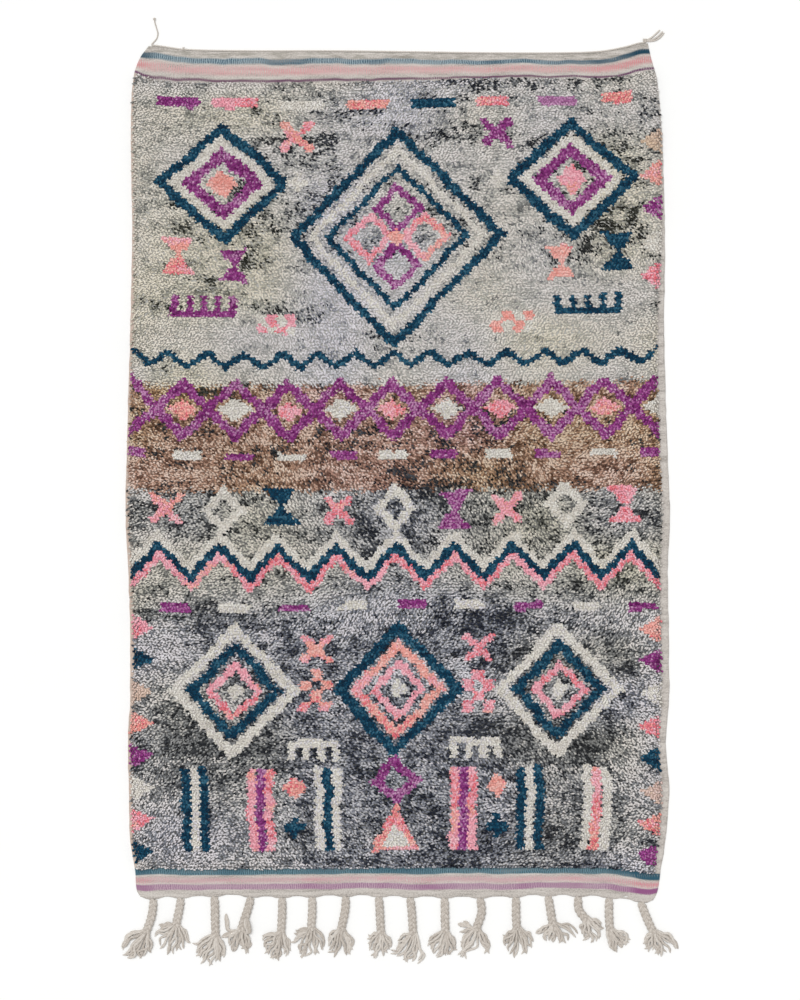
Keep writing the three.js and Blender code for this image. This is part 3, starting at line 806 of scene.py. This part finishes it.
def blended(chosen, x, y, rng):
    """The dyed wools shade into each other here and there along a motif."""
    blend = value_noise(x, y, 120, 46, 7)
    odd = rng.random(len(x))
    deep = 0.5 * smooth_step(value_noise(x, y, 90, 60, 18), 0.45, 0.75)
    shades = [
        ("coral", "pink", smooth_step(blend, 0.4, 0.75)),
        ("pink", "coral", smooth_step(blend, 0.62, 0.9)),
        ("coral", "rose", 0.8 * deep),
        ("pink", "rose", deep),
        ("plum", "mauve", 0.14 + 0.5 * smooth_step(blend, 0.5, 0.8)),
        ("cream", "white", 0.3),
    ]
    before = chosen.copy()
    for name, other, share in shades:
        chosen[(before == NAMES.index(name)) & (odd < share)] = NAMES.index(other)
    return chosen


def pile_piece(name, material, yarns, pads, values):
    """One wool's yarn ends and pads, each with a texture cell of its own."""
    yarn_faces = YARN_FACES + 5 * np.arange(len(yarns))[:, None, None]
    pad_faces = PAD_FACES + 4 * np.arange(len(pads))[:, None, None] + 5 * len(yarns)
    total = len(yarns) + len(pads)
    cells = np.arange(total)
    piece = make_piece(
        name,
        np.concatenate([yarns.reshape(-1, 3), pads.reshape(-1, 3)]),
        np.concatenate([yarn_faces.reshape(-1, 3), pad_faces.reshape(-1, 3)]),
        material,
        {
            key: np.concatenate([np.repeat(column, 5), np.full(4 * len(pads), PAD_LOOK[key])])
            for key, column in values.items()
        },
        np.concatenate([
            cell_map(cells[:len(yarns)], total, YARN_MAP),
            cell_map(cells[len(yarns):], total, PAD_MAP),
        ]),
    )
    return piece


def make_pile():
    rng = np.random.default_rng(SEED)
    x, y, chart_x, chart_y, across, up = knot_places()
    wool = knot_wools(chart_x, chart_y)
    to_side = np.minimum(across, 1 - across) * 2 * CHART_HALF_WIDTH
    to_end = np.minimum(up, 1 - up) * 2 * CHART_HALF_LENGTH
    knot_inner = smooth_step(np.minimum(to_side, to_end), 0, RIM_SLOPE)
    pads = knot_pads(x, y, knot_inner)

    count = len(x) * YARNS_PER_KNOT
    knot = np.repeat(np.arange(len(x)), YARNS_PER_KNOT)
    slot = np.tile(np.arange(YARNS_PER_KNOT), len(x))
    place_x = x[knot] + (slot - 1) * YARN_PITCH + rng.normal(0, YARN_SCATTER, count)
    stagger = np.where(slot % 2, YARN_STAGGER, -YARN_STAGGER)
    place_y = y[knot] + stagger + rng.normal(0, YARN_SCATTER, count)
    place = np.column_stack([place_x, place_y])
    dyed = wool[knot] != GROUND
    field = field_wools(place_x, chart_y[knot] + 6 * rng.normal(0, 1, count), rng)
    chosen = blended(np.where(dyed, wool[knot], field), place_x, place_y, rng)

    swirl = value_noise(place_x, place_y, 330, 210, 10) - 0.5
    heading = rng.choice([0, np.pi], count) + YARN_SWIRL * swirl
    heading += rng.normal(0, YARN_HEADING_SPREAD, count)
    length, half_width = (
        np.where(dyed, rng.uniform(*DYED_YARN[key], count), rng.uniform(*UNDYED_YARN[key], count))
        for key in ("length", "half_width")
    )
    half = np.column_stack([np.cos(heading), np.sin(heading)]) * length[:, None] / 2
    inner = knot_inner[knot]
    foot = lerp(CLOTH_THICKNESS, pile_top(place_x, place_y) - FOOT_DEPTH, inner) - YARN_ROOT_DEPTH
    top = lerp(PILE_RIM_HEIGHT - YARN_RIM_DROP, pile_top(place_x, place_y), inner)
    top = top + rng.normal(0, YARN_UNEVENNESS, count)
    root = np.column_stack([place - half, foot])
    knee = np.column_stack([place, top - YARN_CROWN])
    tip = np.column_stack([place + half, top - YARN_TIP_DROP])
    yarns = yarn_end_points(root, knee, tip, half_width)

    # Neighbours share a shade, and the wool is cooler in the middle and lower down
    bundle = value_noise(place_x, place_y, 40, 9, 8) - 0.5
    shade = np.clip(0.5 + 0.6 * bundle + rng.normal(0, 0.2, count), 0.02, 0.98)
    lot = value_noise(place_x, place_y, 210, 130, 19) - 0.5
    middle = 1 - smooth_step(np.abs(place_x), 150, 400)
    cool = np.clip(0.33 + 0.4 * middle + 0.44 * smooth_step(-place_y, 330, 470) + 0.8 * lot, 0, 1)

    pieces = []
    for index, name in enumerate(NAMES):
        material = pile_wool(name)
        for half_name, sign in (("lower", -1), ("upper", 1)):
            mine = (chosen == index) & (place_y * sign > 0)
            padded = (wool == index) & (y * sign > 0)
            if mine.any():
                pieces.append(pile_piece(
                    f"{half_name}_pile_{name}_wool", material, yarns[mine], pads[padded],
                    {"shade": shade[mine], "cool": cool[mine]},
                ))
    return pieces


# The ground cloth: flatwoven striped ends, selvedges, and the weave under the pile

ZONES = {
    "bottom": (pile_lower_end, bottom_edge),
    "middle": (pile_lower_end, pile_upper_end),
    "top": (pile_upper_end, top_edge),
}


def cloth_rows():
    """Lines across the cloth, bottom to top: each one's zone, and how far through it it is."""
    end_steps = np.linspace(0, 1, CLOTH_END_ROWS)
    rows = [("bottom", 1 - s) for s in end_steps]
    rows += [("middle", s) for s in np.linspace(0, 1, CLOTH_MIDDLE_ROWS)[1:-1]]
    rows += [("top", s) for s in end_steps]
    return rows


def cloth_material():
    wool = Wool("flatwoven_wool")
    top, bottom = wool.attribute("top_share"), wool.attribute("bottom_share")
    dye_lots = wool.steps(wool.noise(5.0, (1.0, 0.6, 1.0), 2.0), 0.38, 0.66)
    corner = wool.sum(wool.attribute("corner"), dye_lots, 0.9)
    waver = wool.noise(9.0, (1.0, 0.5, 1.0), 2.0)
    top_place = wool.sum(top, waver, 0.26, clamp=False)
    bottom_place = wool.sum(bottom, waver, 0.17, clamp=False)
    streaks = wool.noise(24.0, (0.3, 3.4, 1.0), 3.0, 0.65)
    fine = wool.noise(200.0, (1.0, 1.7, 1.0), 2.0)
    undyed = [(0.2, (158, 151, 144)), (0.5, (201, 194, 187)), (0.8, (220, 214, 207))]
    colour = wool.ramp(wool.sum(streaks, fine, 0.9), undyed)
    colour = wool.mixed(wool.times(wool.attribute("left_side"), 0.6), colour, (206, 178, 160))
    heathered = wool.times(wool.steps(top_place, 0.68, 0.8), 0.5)
    heather_marks = wool.steps(wool.noise(70.0, (0.4, 2.2, 1.0), 3.0), 0.36, 0.72)
    colour = wool.mixed(wool.times(heathered, heather_marks), colour, (118, 116, 102))
    patchy = wool.noise(14.0, (0.5, 5.0, 1.0), 3.0)
    speckle = wool.noise(190.0, (1.0, 1.5, 1.0), 1.0)
    ticks = wool.steps(wool.sum(wool.wave("X", 55.0, 7.0), speckle, 1.4), 0.3, 0.7)
    grain = wool.sum(patchy, ticks, 0.6)

    def stripe(base, place, low, high, soft, dye, thin):
        """A woven stripe with soft edges, its cover broken where the wool is thin."""
        starts = wool.steps(place, low - soft, low + soft)
        ends = wool.steps(place, high + soft, high - soft)
        cover = wool.steps(grain, thin - 0.5, thin + 0.3)
        return wool.mixed(wool.times(wool.times(starts, ends), cover), base, dye)

    def dyed(plain, deep, at_corner):
        """A dye that varies from pick to pick and lot to lot, and is stronger at the corners."""
        return wool.mixed(corner, wool.mixed(ticks, deep, plain), at_corner)

    stripes = [
        (top_place, 0.58, 0.76, 0.04, dyed((150, 168, 176), (72, 100, 116), (20, 64, 84)), 0.1),
        (top_place, 0.24, 0.50, 0.1, dyed((216, 172, 172), (206, 148, 150), (212, 142, 145)), 0.42),
        (top_place, 0.0, 0.09, 0.035, dyed((130, 95, 116), (84, 48, 76), (104, 58, 98)), 0.18),
        (bottom_place, -0.1, 0.19, 0.03, dyed((108, 140, 152), (66, 98, 110), (48, 90, 108)), 0.0),
        (bottom_place, 0.29, 0.48, 0.1, dyed((208, 171, 175), (200, 156, 162), (212, 138, 148)), 0.38),
        (bottom_place, 0.54, 0.75, 0.03, dyed((190, 160, 176), (156, 122, 146), (148, 90, 134)), 0.05),
    ]
    for place, low, high, soft, dye, thin in stripes:
        colour = stripe(colour, place, low, high, soft, dye, thin)
    # The pile's foot: each zone's undyed wool tone with heathered variation, and painted shade on top of
    # it: it is painted darker than the yarn ends above so that the gaps between them read as shade
    foot_heather_and_shade = wool.sum(wool.attribute("field"), wool.noise(90.0, (1.0, 1.6, 1.0), 2.0), 0.8)
    foot = wool.ramp(foot_heather_and_shade, [(0.0, (34, 36, 37)), (0.5, (118, 118, 116)), (1.0, (208, 206, 200))])
    foot = wool.mixed(wool.attribute("brown"), foot, (142, 114, 98))
    wool.paint(wool.mixed(wool.attribute("foot"), colour, foot))

    ribs = wool.wave("X", 70.0, 1.5)
    picks = wool.wave("Y", 130.0, 2.5)
    wool.relief(wool.sum(ribs, picks, 0.8), 0.9, 0.8)
    return wool.material


def cloth_grid():
    """The upper face's points, row by row, and how far across each column is."""
    across = np.linspace(0, 1, CLOTH_COLUMNS)
    across = np.concatenate([[0.0, 0.0015, 0.004], across[1:-1], [0.996, 0.9985, 1.0]])
    grid = []
    for kind, share in cloth_rows():
        start, stop = ZONES[kind]
        x = lerp(*CLOTH_SPAN, across)
        for _ in range(4):
            y = lerp(start(x), stop(x), share)
            x = lerp(left_side(y), right_side(y), across)
        from_left = x - left_side(y)
        from_right = right_side(y) - x
        inside = np.minimum(from_left, from_right)
        end = CLOTH_END_LENGTH * (1 if kind == "middle" else 1 - share)
        middle = np.full(len(x), CLOTH_THICKNESS)
        if kind == "middle":
            band = np.minimum(from_left - left_selvedge(y), from_right - right_selvedge(y))
            middle = lerp(SELVEDGE_THICKNESS, CLOTH_THICKNESS, smooth_step(band, -4, 4))
            to_end = np.minimum(y - pile_lower_end(x), pile_upper_end(x) - y)
            foot = smooth_step(np.minimum(band + PILE_OVERHANG, to_end), 2, RIM_SLOPE)
            middle = lerp(middle, pile_top(x, y) - FOOT_DEPTH, foot)
            bump = WEFT_RETURN_BUMP * (value_noise(x, y, 400, 19, 11) - 0.5)
            x = x + np.where(from_left < from_right, -1, 1) * bump * (1 - smooth_step(inside, 0, 6))
        from_edge = np.minimum(inside, end)
        z = lerp(EDGE_THICKNESS, middle, np.sqrt(np.clip(from_edge / CLOTH_EDGE_ROUND, 0, 1)))
        ripple = 1.3 * (value_noise(x, y, 70, 26, 9) - 0.5)
        z = z + ripple * smooth_step(from_edge, 0, 10) * (kind != "middle")
        grid.append(np.column_stack([x, y, z]))
    return np.array(grid), across


def cut_slit(grid, cells):
    """Takes the four cells at the slit out, and rounds the hole that they leave."""
    x, y, length, width = WARP_SLIT
    away = np.hypot(grid[..., 0] - x, (grid[..., 1] - y) * 3)
    row, column = np.unravel_index(np.argmin(away), away.shape)
    ring = [(0, 1), (1, 1), (1, 0), (1, -1), (0, -1), (-1, -1), (-1, 0), (-1, 1)]
    for k, (up, over) in enumerate(ring):
        turn = k * math.pi / 4
        point = (x + length / 2 * math.cos(turn), y + width / 2 * math.sin(turn))
        grid[row + up, column + over, :2] = point
    keep = np.ones(cells.shape[:2], bool)
    keep[row - 1:row + 1, column - 1:column + 1] = False
    return cells[keep]


def make_cloth():
    """One closed sheet, its underside flat on the floor."""
    grid, across = cloth_grid()
    height, width = grid.shape[:2]
    index = np.arange(height * width).reshape(height, width)
    cells = np.stack([index[:-1, :-1], index[:-1, 1:], index[1:, 1:], index[1:, :-1]], -1)
    upper = cut_slit(grid, cells)
    points = grid.reshape(-1, 3)
    count = len(points)
    start, end = upper.ravel(), np.roll(upper, -1, axis=1).ravel()
    border = ~np.isin(start * count + end, end * count + start)
    start, end = start[border], end[border]
    walls = np.column_stack([end, start, start + count, end + count])
    faces = np.concatenate([upper, upper[:, ::-1] + count, walls])
    both = np.concatenate([points, points * (1, 1, 0)])

    x, y = both[:, 0], both[:, 1]
    values = {
        "top_share": (y - pile_upper_end(x)) / (top_edge(x) - pile_upper_end(x)),
        "bottom_share": (pile_lower_end(x) - y) / (pile_lower_end(x) - bottom_line(x)),
        "corner": smooth_step(-x, 670, 745) + np.where(
            y > 0, smooth_step(x, 260, 560), smooth_step(x, 620, 760) + 0.25 * smooth_step(x, 0, 250)
        ),
        "left_side": smooth_step(-x, 755, 772),
        # Where the raised foot under the pile is, and its tone in each zone; its colour is partly the
        # wool's and partly painted shade
        "foot": smooth_step(both[:, 2], SELVEDGE_THICKNESS + 0.5, SELVEDGE_THICKNESS + 4),
        "field": np.interp(y, [-420, -380, -60, -30, 245, 275], [0.3, 0.5, 0.5, 0.45, 0.45, 0.95]),
        "brown": smooth_step(y, -60, -30) * (1 - smooth_step(y, 245, 275)),
    }
    turns = [0, CLOTH_END_ROWS - 1, height - CLOTH_END_ROWS, height - 1]
    row_place = np.interp(np.arange(height), turns, [0.12, 0.42, 0.7, 0.99])
    place = np.stack(np.meshgrid(0.01 + 0.98 * across, row_place), -1).reshape(-1, 2)
    strip = np.arange(len(walls))[:, None] + np.array([0.9, 0.1, 0.1, 0.9])
    wall_map = np.stack([strip / len(walls), np.broadcast_to([0.1, 0.1, 0.08, 0.08], strip.shape)], -1)
    under_map = place[upper[:, ::-1]] * (1, 0.06)
    uv = np.concatenate([place[upper], under_map, wall_map]).reshape(-1, 2)
    used, faces = np.unique(faces, return_inverse=True)
    return make_piece(
        "ground_cloth", both[used], faces.reshape(-1, 4), cloth_material(),
        {key: column[used] for key, column in values.items()}, uv,
    )


# Yarns and cords

def tube(path, radius, sides, plies, ply_turn, groove=0.2, flat=1.0, start=0.0, taper=3.0, laid=False):
    """A plied yarn along a path: rings whose lobes turn as the plies do, or laid along them.

    Its last stretch tapers off, over the length that taper gives.
    """
    path = np.asarray(path, float)
    tangent = unit(np.gradient(path, axis=0))
    level = unit(np.column_stack([-tangent[:, 1], tangent[:, 0], np.zeros(len(path))]))
    upward = np.cross(tangent, level)
    far = distances(path)
    turn = start + 2 * np.pi * far / ply_turn
    angle = np.arange(sides) * 2 * np.pi / sides + np.zeros((len(path), 1))
    if laid:
        angle = angle + turn[:, None]
    lobe = np.abs(np.cos(plies * (angle - turn[:, None]) / 2)) if groove else np.ones(angle.shape)
    radii = np.broadcast_to(radius, len(path))[:, None]
    size = radii * (1 - groove + groove * lobe)
    if taper:
        size = size * np.sqrt(np.clip((far[-1] - far) / taper, 0.06, 1))[:, None]
    points = (
        path[:, None, :]
        + (size * np.cos(angle))[..., None] * level[:, None, :]
        + (flat * size * np.sin(angle))[..., None] * upward[:, None, :]
    )
    rings = len(path)
    index = np.arange(rings * sides).reshape(rings, sides)
    nxt = np.roll(index, -1, axis=1)
    faces = np.stack([index[:-1], nxt[:-1], nxt[1:], index[1:]], -1).reshape(-1, 4)
    return points.reshape(-1, 3), faces, lobe.ravel(), (rings, sides)


class Bundle:
    """Many tubes gathered into one mesh."""

    def __init__(self):
        self.points, self.faces, self.lobes, self.shades, self.cells = [], [], [], [], []
        self.count = 0

    def add(self, made, shade):
        points, faces, lobes, size = made
        self.points.append(points)
        self.faces.append(faces + self.count)
        self.lobes.append(lobes)
        self.shades.append(np.full(len(points), shade))
        self.cells.append(size)
        self.count += len(points)

    def texture_places(self):
        """Each tube is a narrow upright strip."""
        total = len(self.cells)
        strips = []
        for k, (rings, sides) in enumerate(self.cells):
            i = np.arange(rings - 1)[:, None] * np.ones(sides)
            j = np.ones((rings - 1, 1)) * np.arange(sides)
            corner = np.stack([
                np.stack([j, i], -1), np.stack([j + 1, i], -1),
                np.stack([j + 1, i + 1], -1), np.stack([j, i + 1], -1),
            ], 2).reshape(-1, 2)
            share = corner / (sides, rings - 1)
            over = (k + 0.05 + 0.9 * share[:, 0]) / total
            strips.append(np.column_stack([over, 0.01 + 0.98 * share[:, 1]]))
        return np.concatenate(strips)

    def piece(self, name, material):
        values = {"groove": np.concatenate(self.lobes), "shade": np.concatenate(self.shades)}
        return make_piece(
            name, np.concatenate(self.points), np.concatenate(self.faces), material, values,
            self.texture_places(),
        )


def warp_material():
    wool = Wool("warp_wool")
    mottle = wool.sum(wool.attribute("shade"), wool.noise(220.0, (1, 1, 1), 3.0), 0.8)
    creams = [(0.1, (176, 167, 157)), (0.5, (204, 196, 187)), (0.9, (221, 215, 207))]
    # Painted shade: the grooves between the plies and yarns are painted darker, where shade falls in
    # them
    groove = wool.steps(wool.attribute("groove"), 0.7, 0.0)
    wool.paint(wool.mixed(wool.times(groove, 0.45), wool.ramp(mottle, creams), (160, 149, 138)))
    wool.relief(wool.noise(1500.0), 0.5)
    return wool.material


def curve_through(stations, count):
    """A smooth path of count points through stations."""
    stations = np.asarray(stations, float)
    far = distances(stations)
    where = np.linspace(0, far[-1], count)
    return np.column_stack([read(where) for read in curves(np.column_stack([far, stations]))])


def heading_of(angle):
    turn = math.radians(angle)
    return np.array([math.sin(turn), -math.cos(turn)])


def plait_route(plait):
    root_x, bend, end = plait[0], plait[1], plait[2]
    return curve_through([(root_x, float(bottom_edge(root_x))), bend, end], ROUTE_POINTS)


def braid(bundle, plait, rng):
    """Three flat strands of nearly parallel yarns that pass over each other in turn."""
    route = plait_route(plait)
    tangent = unit(np.gradient(route, axis=0))
    beside = np.column_stack([-tangent[:, 1], tangent[:, 0]])
    far = distances(route)
    strand_half = PLAIT_WIDTH / 2 * STRAND_SHARE
    swing = PLAIT_WIDTH / 2 - strand_half
    open_up = smooth_step(far, 0, PLAIT_ROOT_LENGTH * 1.5)
    for k in range(3):
        turn = np.pi / 6 + 2 * np.pi * (far - PLAIT_ROOT_LENGTH) / PLAIT_TURN + k * 2 * np.pi / 3
        height = strand_half * STRAND_FLATNESS + STRAND_WEAVE * (1 + np.sin(2 * turn))
        height = lerp(3.0, height, open_up)
        path = np.column_stack([route + beside * (swing * np.sin(turn))[:, None], height])
        radius = lerp(0.55, 1.0, smooth_step(far, -4, 14)) * strand_half * 1.03
        strand = tube(
            path, radius, 2 * STRAND_YARNS, STRAND_YARNS, 120.0, 0.12,
            flat=STRAND_FLATNESS, start=k, taper=0.0, laid=True,
        )
        bundle.add(strand, rng.uniform(0.4, 0.6))


def tassel(bundle, plait, number, rng):
    """Loose yarn ends that clump together, bow out to both sides and droop to the floor."""
    route = plait_route(plait)
    end = route[-1]
    last = unit(end - route[-5])
    beside = np.array([-last[1], last[0]])
    (fan_from, fan_to), (reach_start, reach_middle, reach_end) = plait[3], plait[4]
    clump = np.cumsum(rng.random(TASSEL_YARNS) < 0.32)
    shares = np.linspace(0, 1, TASSEL_YARNS)
    level = rng.permutation(TASSEL_YARNS) % 3
    for j, share in enumerate(shares):
        side = 2 * share - 1
        together = shares[clump == clump[j]].mean()
        reach = lerp(reach_middle, reach_start if side < 0 else reach_end, abs(side))
        reach *= rng.uniform(0.86, 1.02)
        root = end - last * TASSEL_ROOT_DEPTH + beside * TASSEL_ROOT_WIDTH / 2 * side
        stations = [(*root, 5.0 + level[j])]
        for out, lift in ((0.3, 1.0), (0.55, 0.85), (0.8, 0.5), (1.0, 0.08)):
            fan = lerp(fan_from, fan_to, lerp(share, together, 0.7 * out))
            angle = fan + TASSEL_BOW * side * (1 - out) + rng.normal(0, 6)
            height = 2.6 + (1.0 + 3.6 * level[j]) * lift
            stations.append((*(end + heading_of(angle) * reach * out), height))
        loose_yarn(bundle, stations, rng)
    for stray in STRAYS:
        if stray[0] == number:
            stray_lock(bundle, end, stray, rng)


def loose_yarn(bundle, stations, rng):
    """A yarn end that swells a little in its middle and comes to a point."""
    swell = 1 + TASSEL_YARN_SWELL * np.sin(np.linspace(0, np.pi, TASSEL_YARN_RINGS))
    radius = rng.uniform(*TASSEL_YARN_RADIUS) * swell
    yarn = tube(
        curve_through(stations, TASSEL_YARN_RINGS), radius, 7, 2, rng.uniform(26, 34),
        flat=TASSEL_YARN_FLATNESS, start=rng.uniform(0, 6), taper=TASSEL_TAPER,
    )
    bundle.add(yarn, rng.uniform(0.3, 0.75))


def stray_lock(bundle, end, stray, rng):
    """Three yarn ends side by side that lie away from the others and come to a point."""
    _, angles, lengths, spread, lift = stray
    knee = end + heading_of(angles[0]) * lengths[0]
    tip = knee + heading_of(angles[1]) * lengths[1]
    beside = heading_of(angles[1] + 90)
    for offset in (-1, 0, 1):
        middle = lerp(knee, tip, 0.45) + beside * offset * spread
        last = lerp(knee, tip, rng.uniform(0.84, 0.96)) + beside * offset * spread * 0.35
        stations = [
            (*end, 9.0),
            (*(knee + beside * offset * spread * 0.5), 6.0 + 0.5 * lift),
            (*middle, 4.0 + lift),
            (*last, 2.6 + lift),
        ]
        loose_yarn(bundle, stations, rng)


def make_fringe(material):
    rng = np.random.default_rng(SEED + 30)
    pieces = []
    for number, plait in enumerate(PLAITS, 1):
        bundle = Bundle()
        braid(bundle, plait, rng)
        tassel(bundle, plait, number, rng)
        piece = bundle.piece(f"tasselled_plait_{number:02d}", material)
        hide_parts(f"plait_{number:02d}")
        pieces.append(piece)
    return pieces


def make_heading(material):
    rng = np.random.default_rng(SEED + 40)
    bundle = Bundle()
    x = np.linspace(*HEADING_SPAN, 900)
    y = top_edge(x) + HEADING_RADIUS + 0.35
    centre = np.column_stack([x, y, np.full(len(x), HEADING_RADIUS)])
    away = unit(np.column_stack([-np.gradient(y, x), np.ones(len(x)), np.zeros(len(x))]))
    for k in range(2):
        turn = 2 * np.pi * (x - HEADING_SPAN[0]) / HEADING_TWIST + k * np.pi
        round_it = np.cos(turn)[:, None] * away + np.sin(turn)[:, None] * (0, 0, 1)
        path = centre + HEADING_YARN_SWING * round_it
        bundle.add(tube(path, HEADING_YARN_RADIUS, 5, 2, 40.0, 0.0, taper=0.0), rng.uniform(0.6, 0.9))
    for tail in [LEFT_TAIL, *RIGHT_TAILS]:
        radius = LEFT_TAIL_RADIUS if tail is LEFT_TAIL else RIGHT_TAIL_RADIUS
        stations = [(px, py, radius + 0.3) for px, py in tail]
        bundle.add(tube(curve_through(stations, 40), radius, 8, 2, 9.0), rng.uniform(0.4, 0.7))

    # The knots at the right corner and at the tip of the left tail
    for place, size, thick in (((713, 1257), 4.6, 2.4), ((-709, 1319), 2.6, 1.8)):
        turn = np.linspace(0, 2 * np.pi, 72)
        loop = np.column_stack([
            place[0] + size / 2.4 * (np.sin(turn) + 1.6 * np.sin(2 * turn)),
            place[1] + size / 2.4 * (np.cos(turn) - 1.6 * np.cos(2 * turn)),
            thick + 3.2 - 1.6 * np.sin(3 * turn),
        ])
        bundle.add(tube(loop, thick, 8, 2, 12.0, taper=0.0), 0.5)
    piece = bundle.piece("twined_heading_cord", material)
    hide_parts("heading_cord")
    return piece


def make_wisps(material):
    """Wisps of loose wool that stand off the heading cord."""
    rng = np.random.default_rng(SEED + 50)
    bundle = Bundle()
    for angle in (-150, -118, 96, 128, 165, 200):
        place = np.array(WISPS_PLACE)
        stations = [(*place, 4.0)]
        for step in (3.0, 3.0, 2.5):
            place = place + heading_of(angle + rng.normal(0, 25)) * step
            stations.append((*place, 4.6 - 0.5 * len(stations)))
        bundle.add(tube(curve_through(stations, 12), 0.9, 5, 2, 8.0, 0.1), rng.uniform(0.3, 0.8))
    piece = bundle.piece("caught_wool_wisps", material)
    return piece


# The studio

def make_studio():
    floor_mesh = bpy.data.meshes.new("floor")
    half = FLOOR_HALF * MM
    corners = [(-half, -half, 0), (half, -half, 0), (half, half, 0), (-half, half, 0)]
    floor_mesh.from_pydata(corners, [], [(0, 1, 2, 3)])
    floor = bpy.data.objects.new("floor", floor_mesh)
    bpy.context.scene.collection.objects.link(floor)
    pale = Wool("pale_floor", roughness=0.9, sheen=0.0)
    pale.paint(pale.ramp(pale.noise(3.0), [(0.0, (247, 247, 246)), (1.0, (250, 250, 249))]))
    floor_mesh.materials.append(pale.material)

    world = bpy.data.worlds.new("studio")
    bpy.context.scene.world = world
    world.use_nodes = True
    background = world.node_tree.nodes["Background"]
    background.inputs["Color"].default_value = (1.0, 1.0, 1.0, 1.0)
    background.inputs["Strength"].default_value = 0.55

    lamp = bpy.data.lights.new("soft_key", "SUN")
    lamp.energy = 1.75
    lamp.angle = math.radians(40)
    key = bpy.data.objects.new("soft_key", lamp)
    bpy.context.scene.collection.objects.link(key)
    key.rotation_euler = Vector((-0.35, 0.45, 1.6)).to_track_quat("Z", "Y").to_euler()

    lens = bpy.data.cameras.new("camera")
    lens.lens = 110.0
    lens.sensor_width = 36.0
    lens.clip_end = 200.0
    camera = bpy.data.objects.new("camera", lens)
    bpy.context.scene.collection.objects.link(camera)
    height = PICTURE_HEIGHT * PIXEL * lens.lens / lens.sensor_width
    camera.location = Vector((*PICTURE_MIDDLE, height)) * MM
    bpy.context.scene.camera = camera
    bpy.context.scene.view_settings.view_transform = "Standard"


make_studio()
yarn_material = warp_material()
cloth = make_cloth()
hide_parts("woven_rug")
on_cloth = make_pile()
on_cloth += make_fringe(yarn_material)
on_cloth.append(make_heading(yarn_material))
on_cloth.append(make_wisps(yarn_material))
for piece in [cloth, *on_cloth]:
    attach(piece, "root")
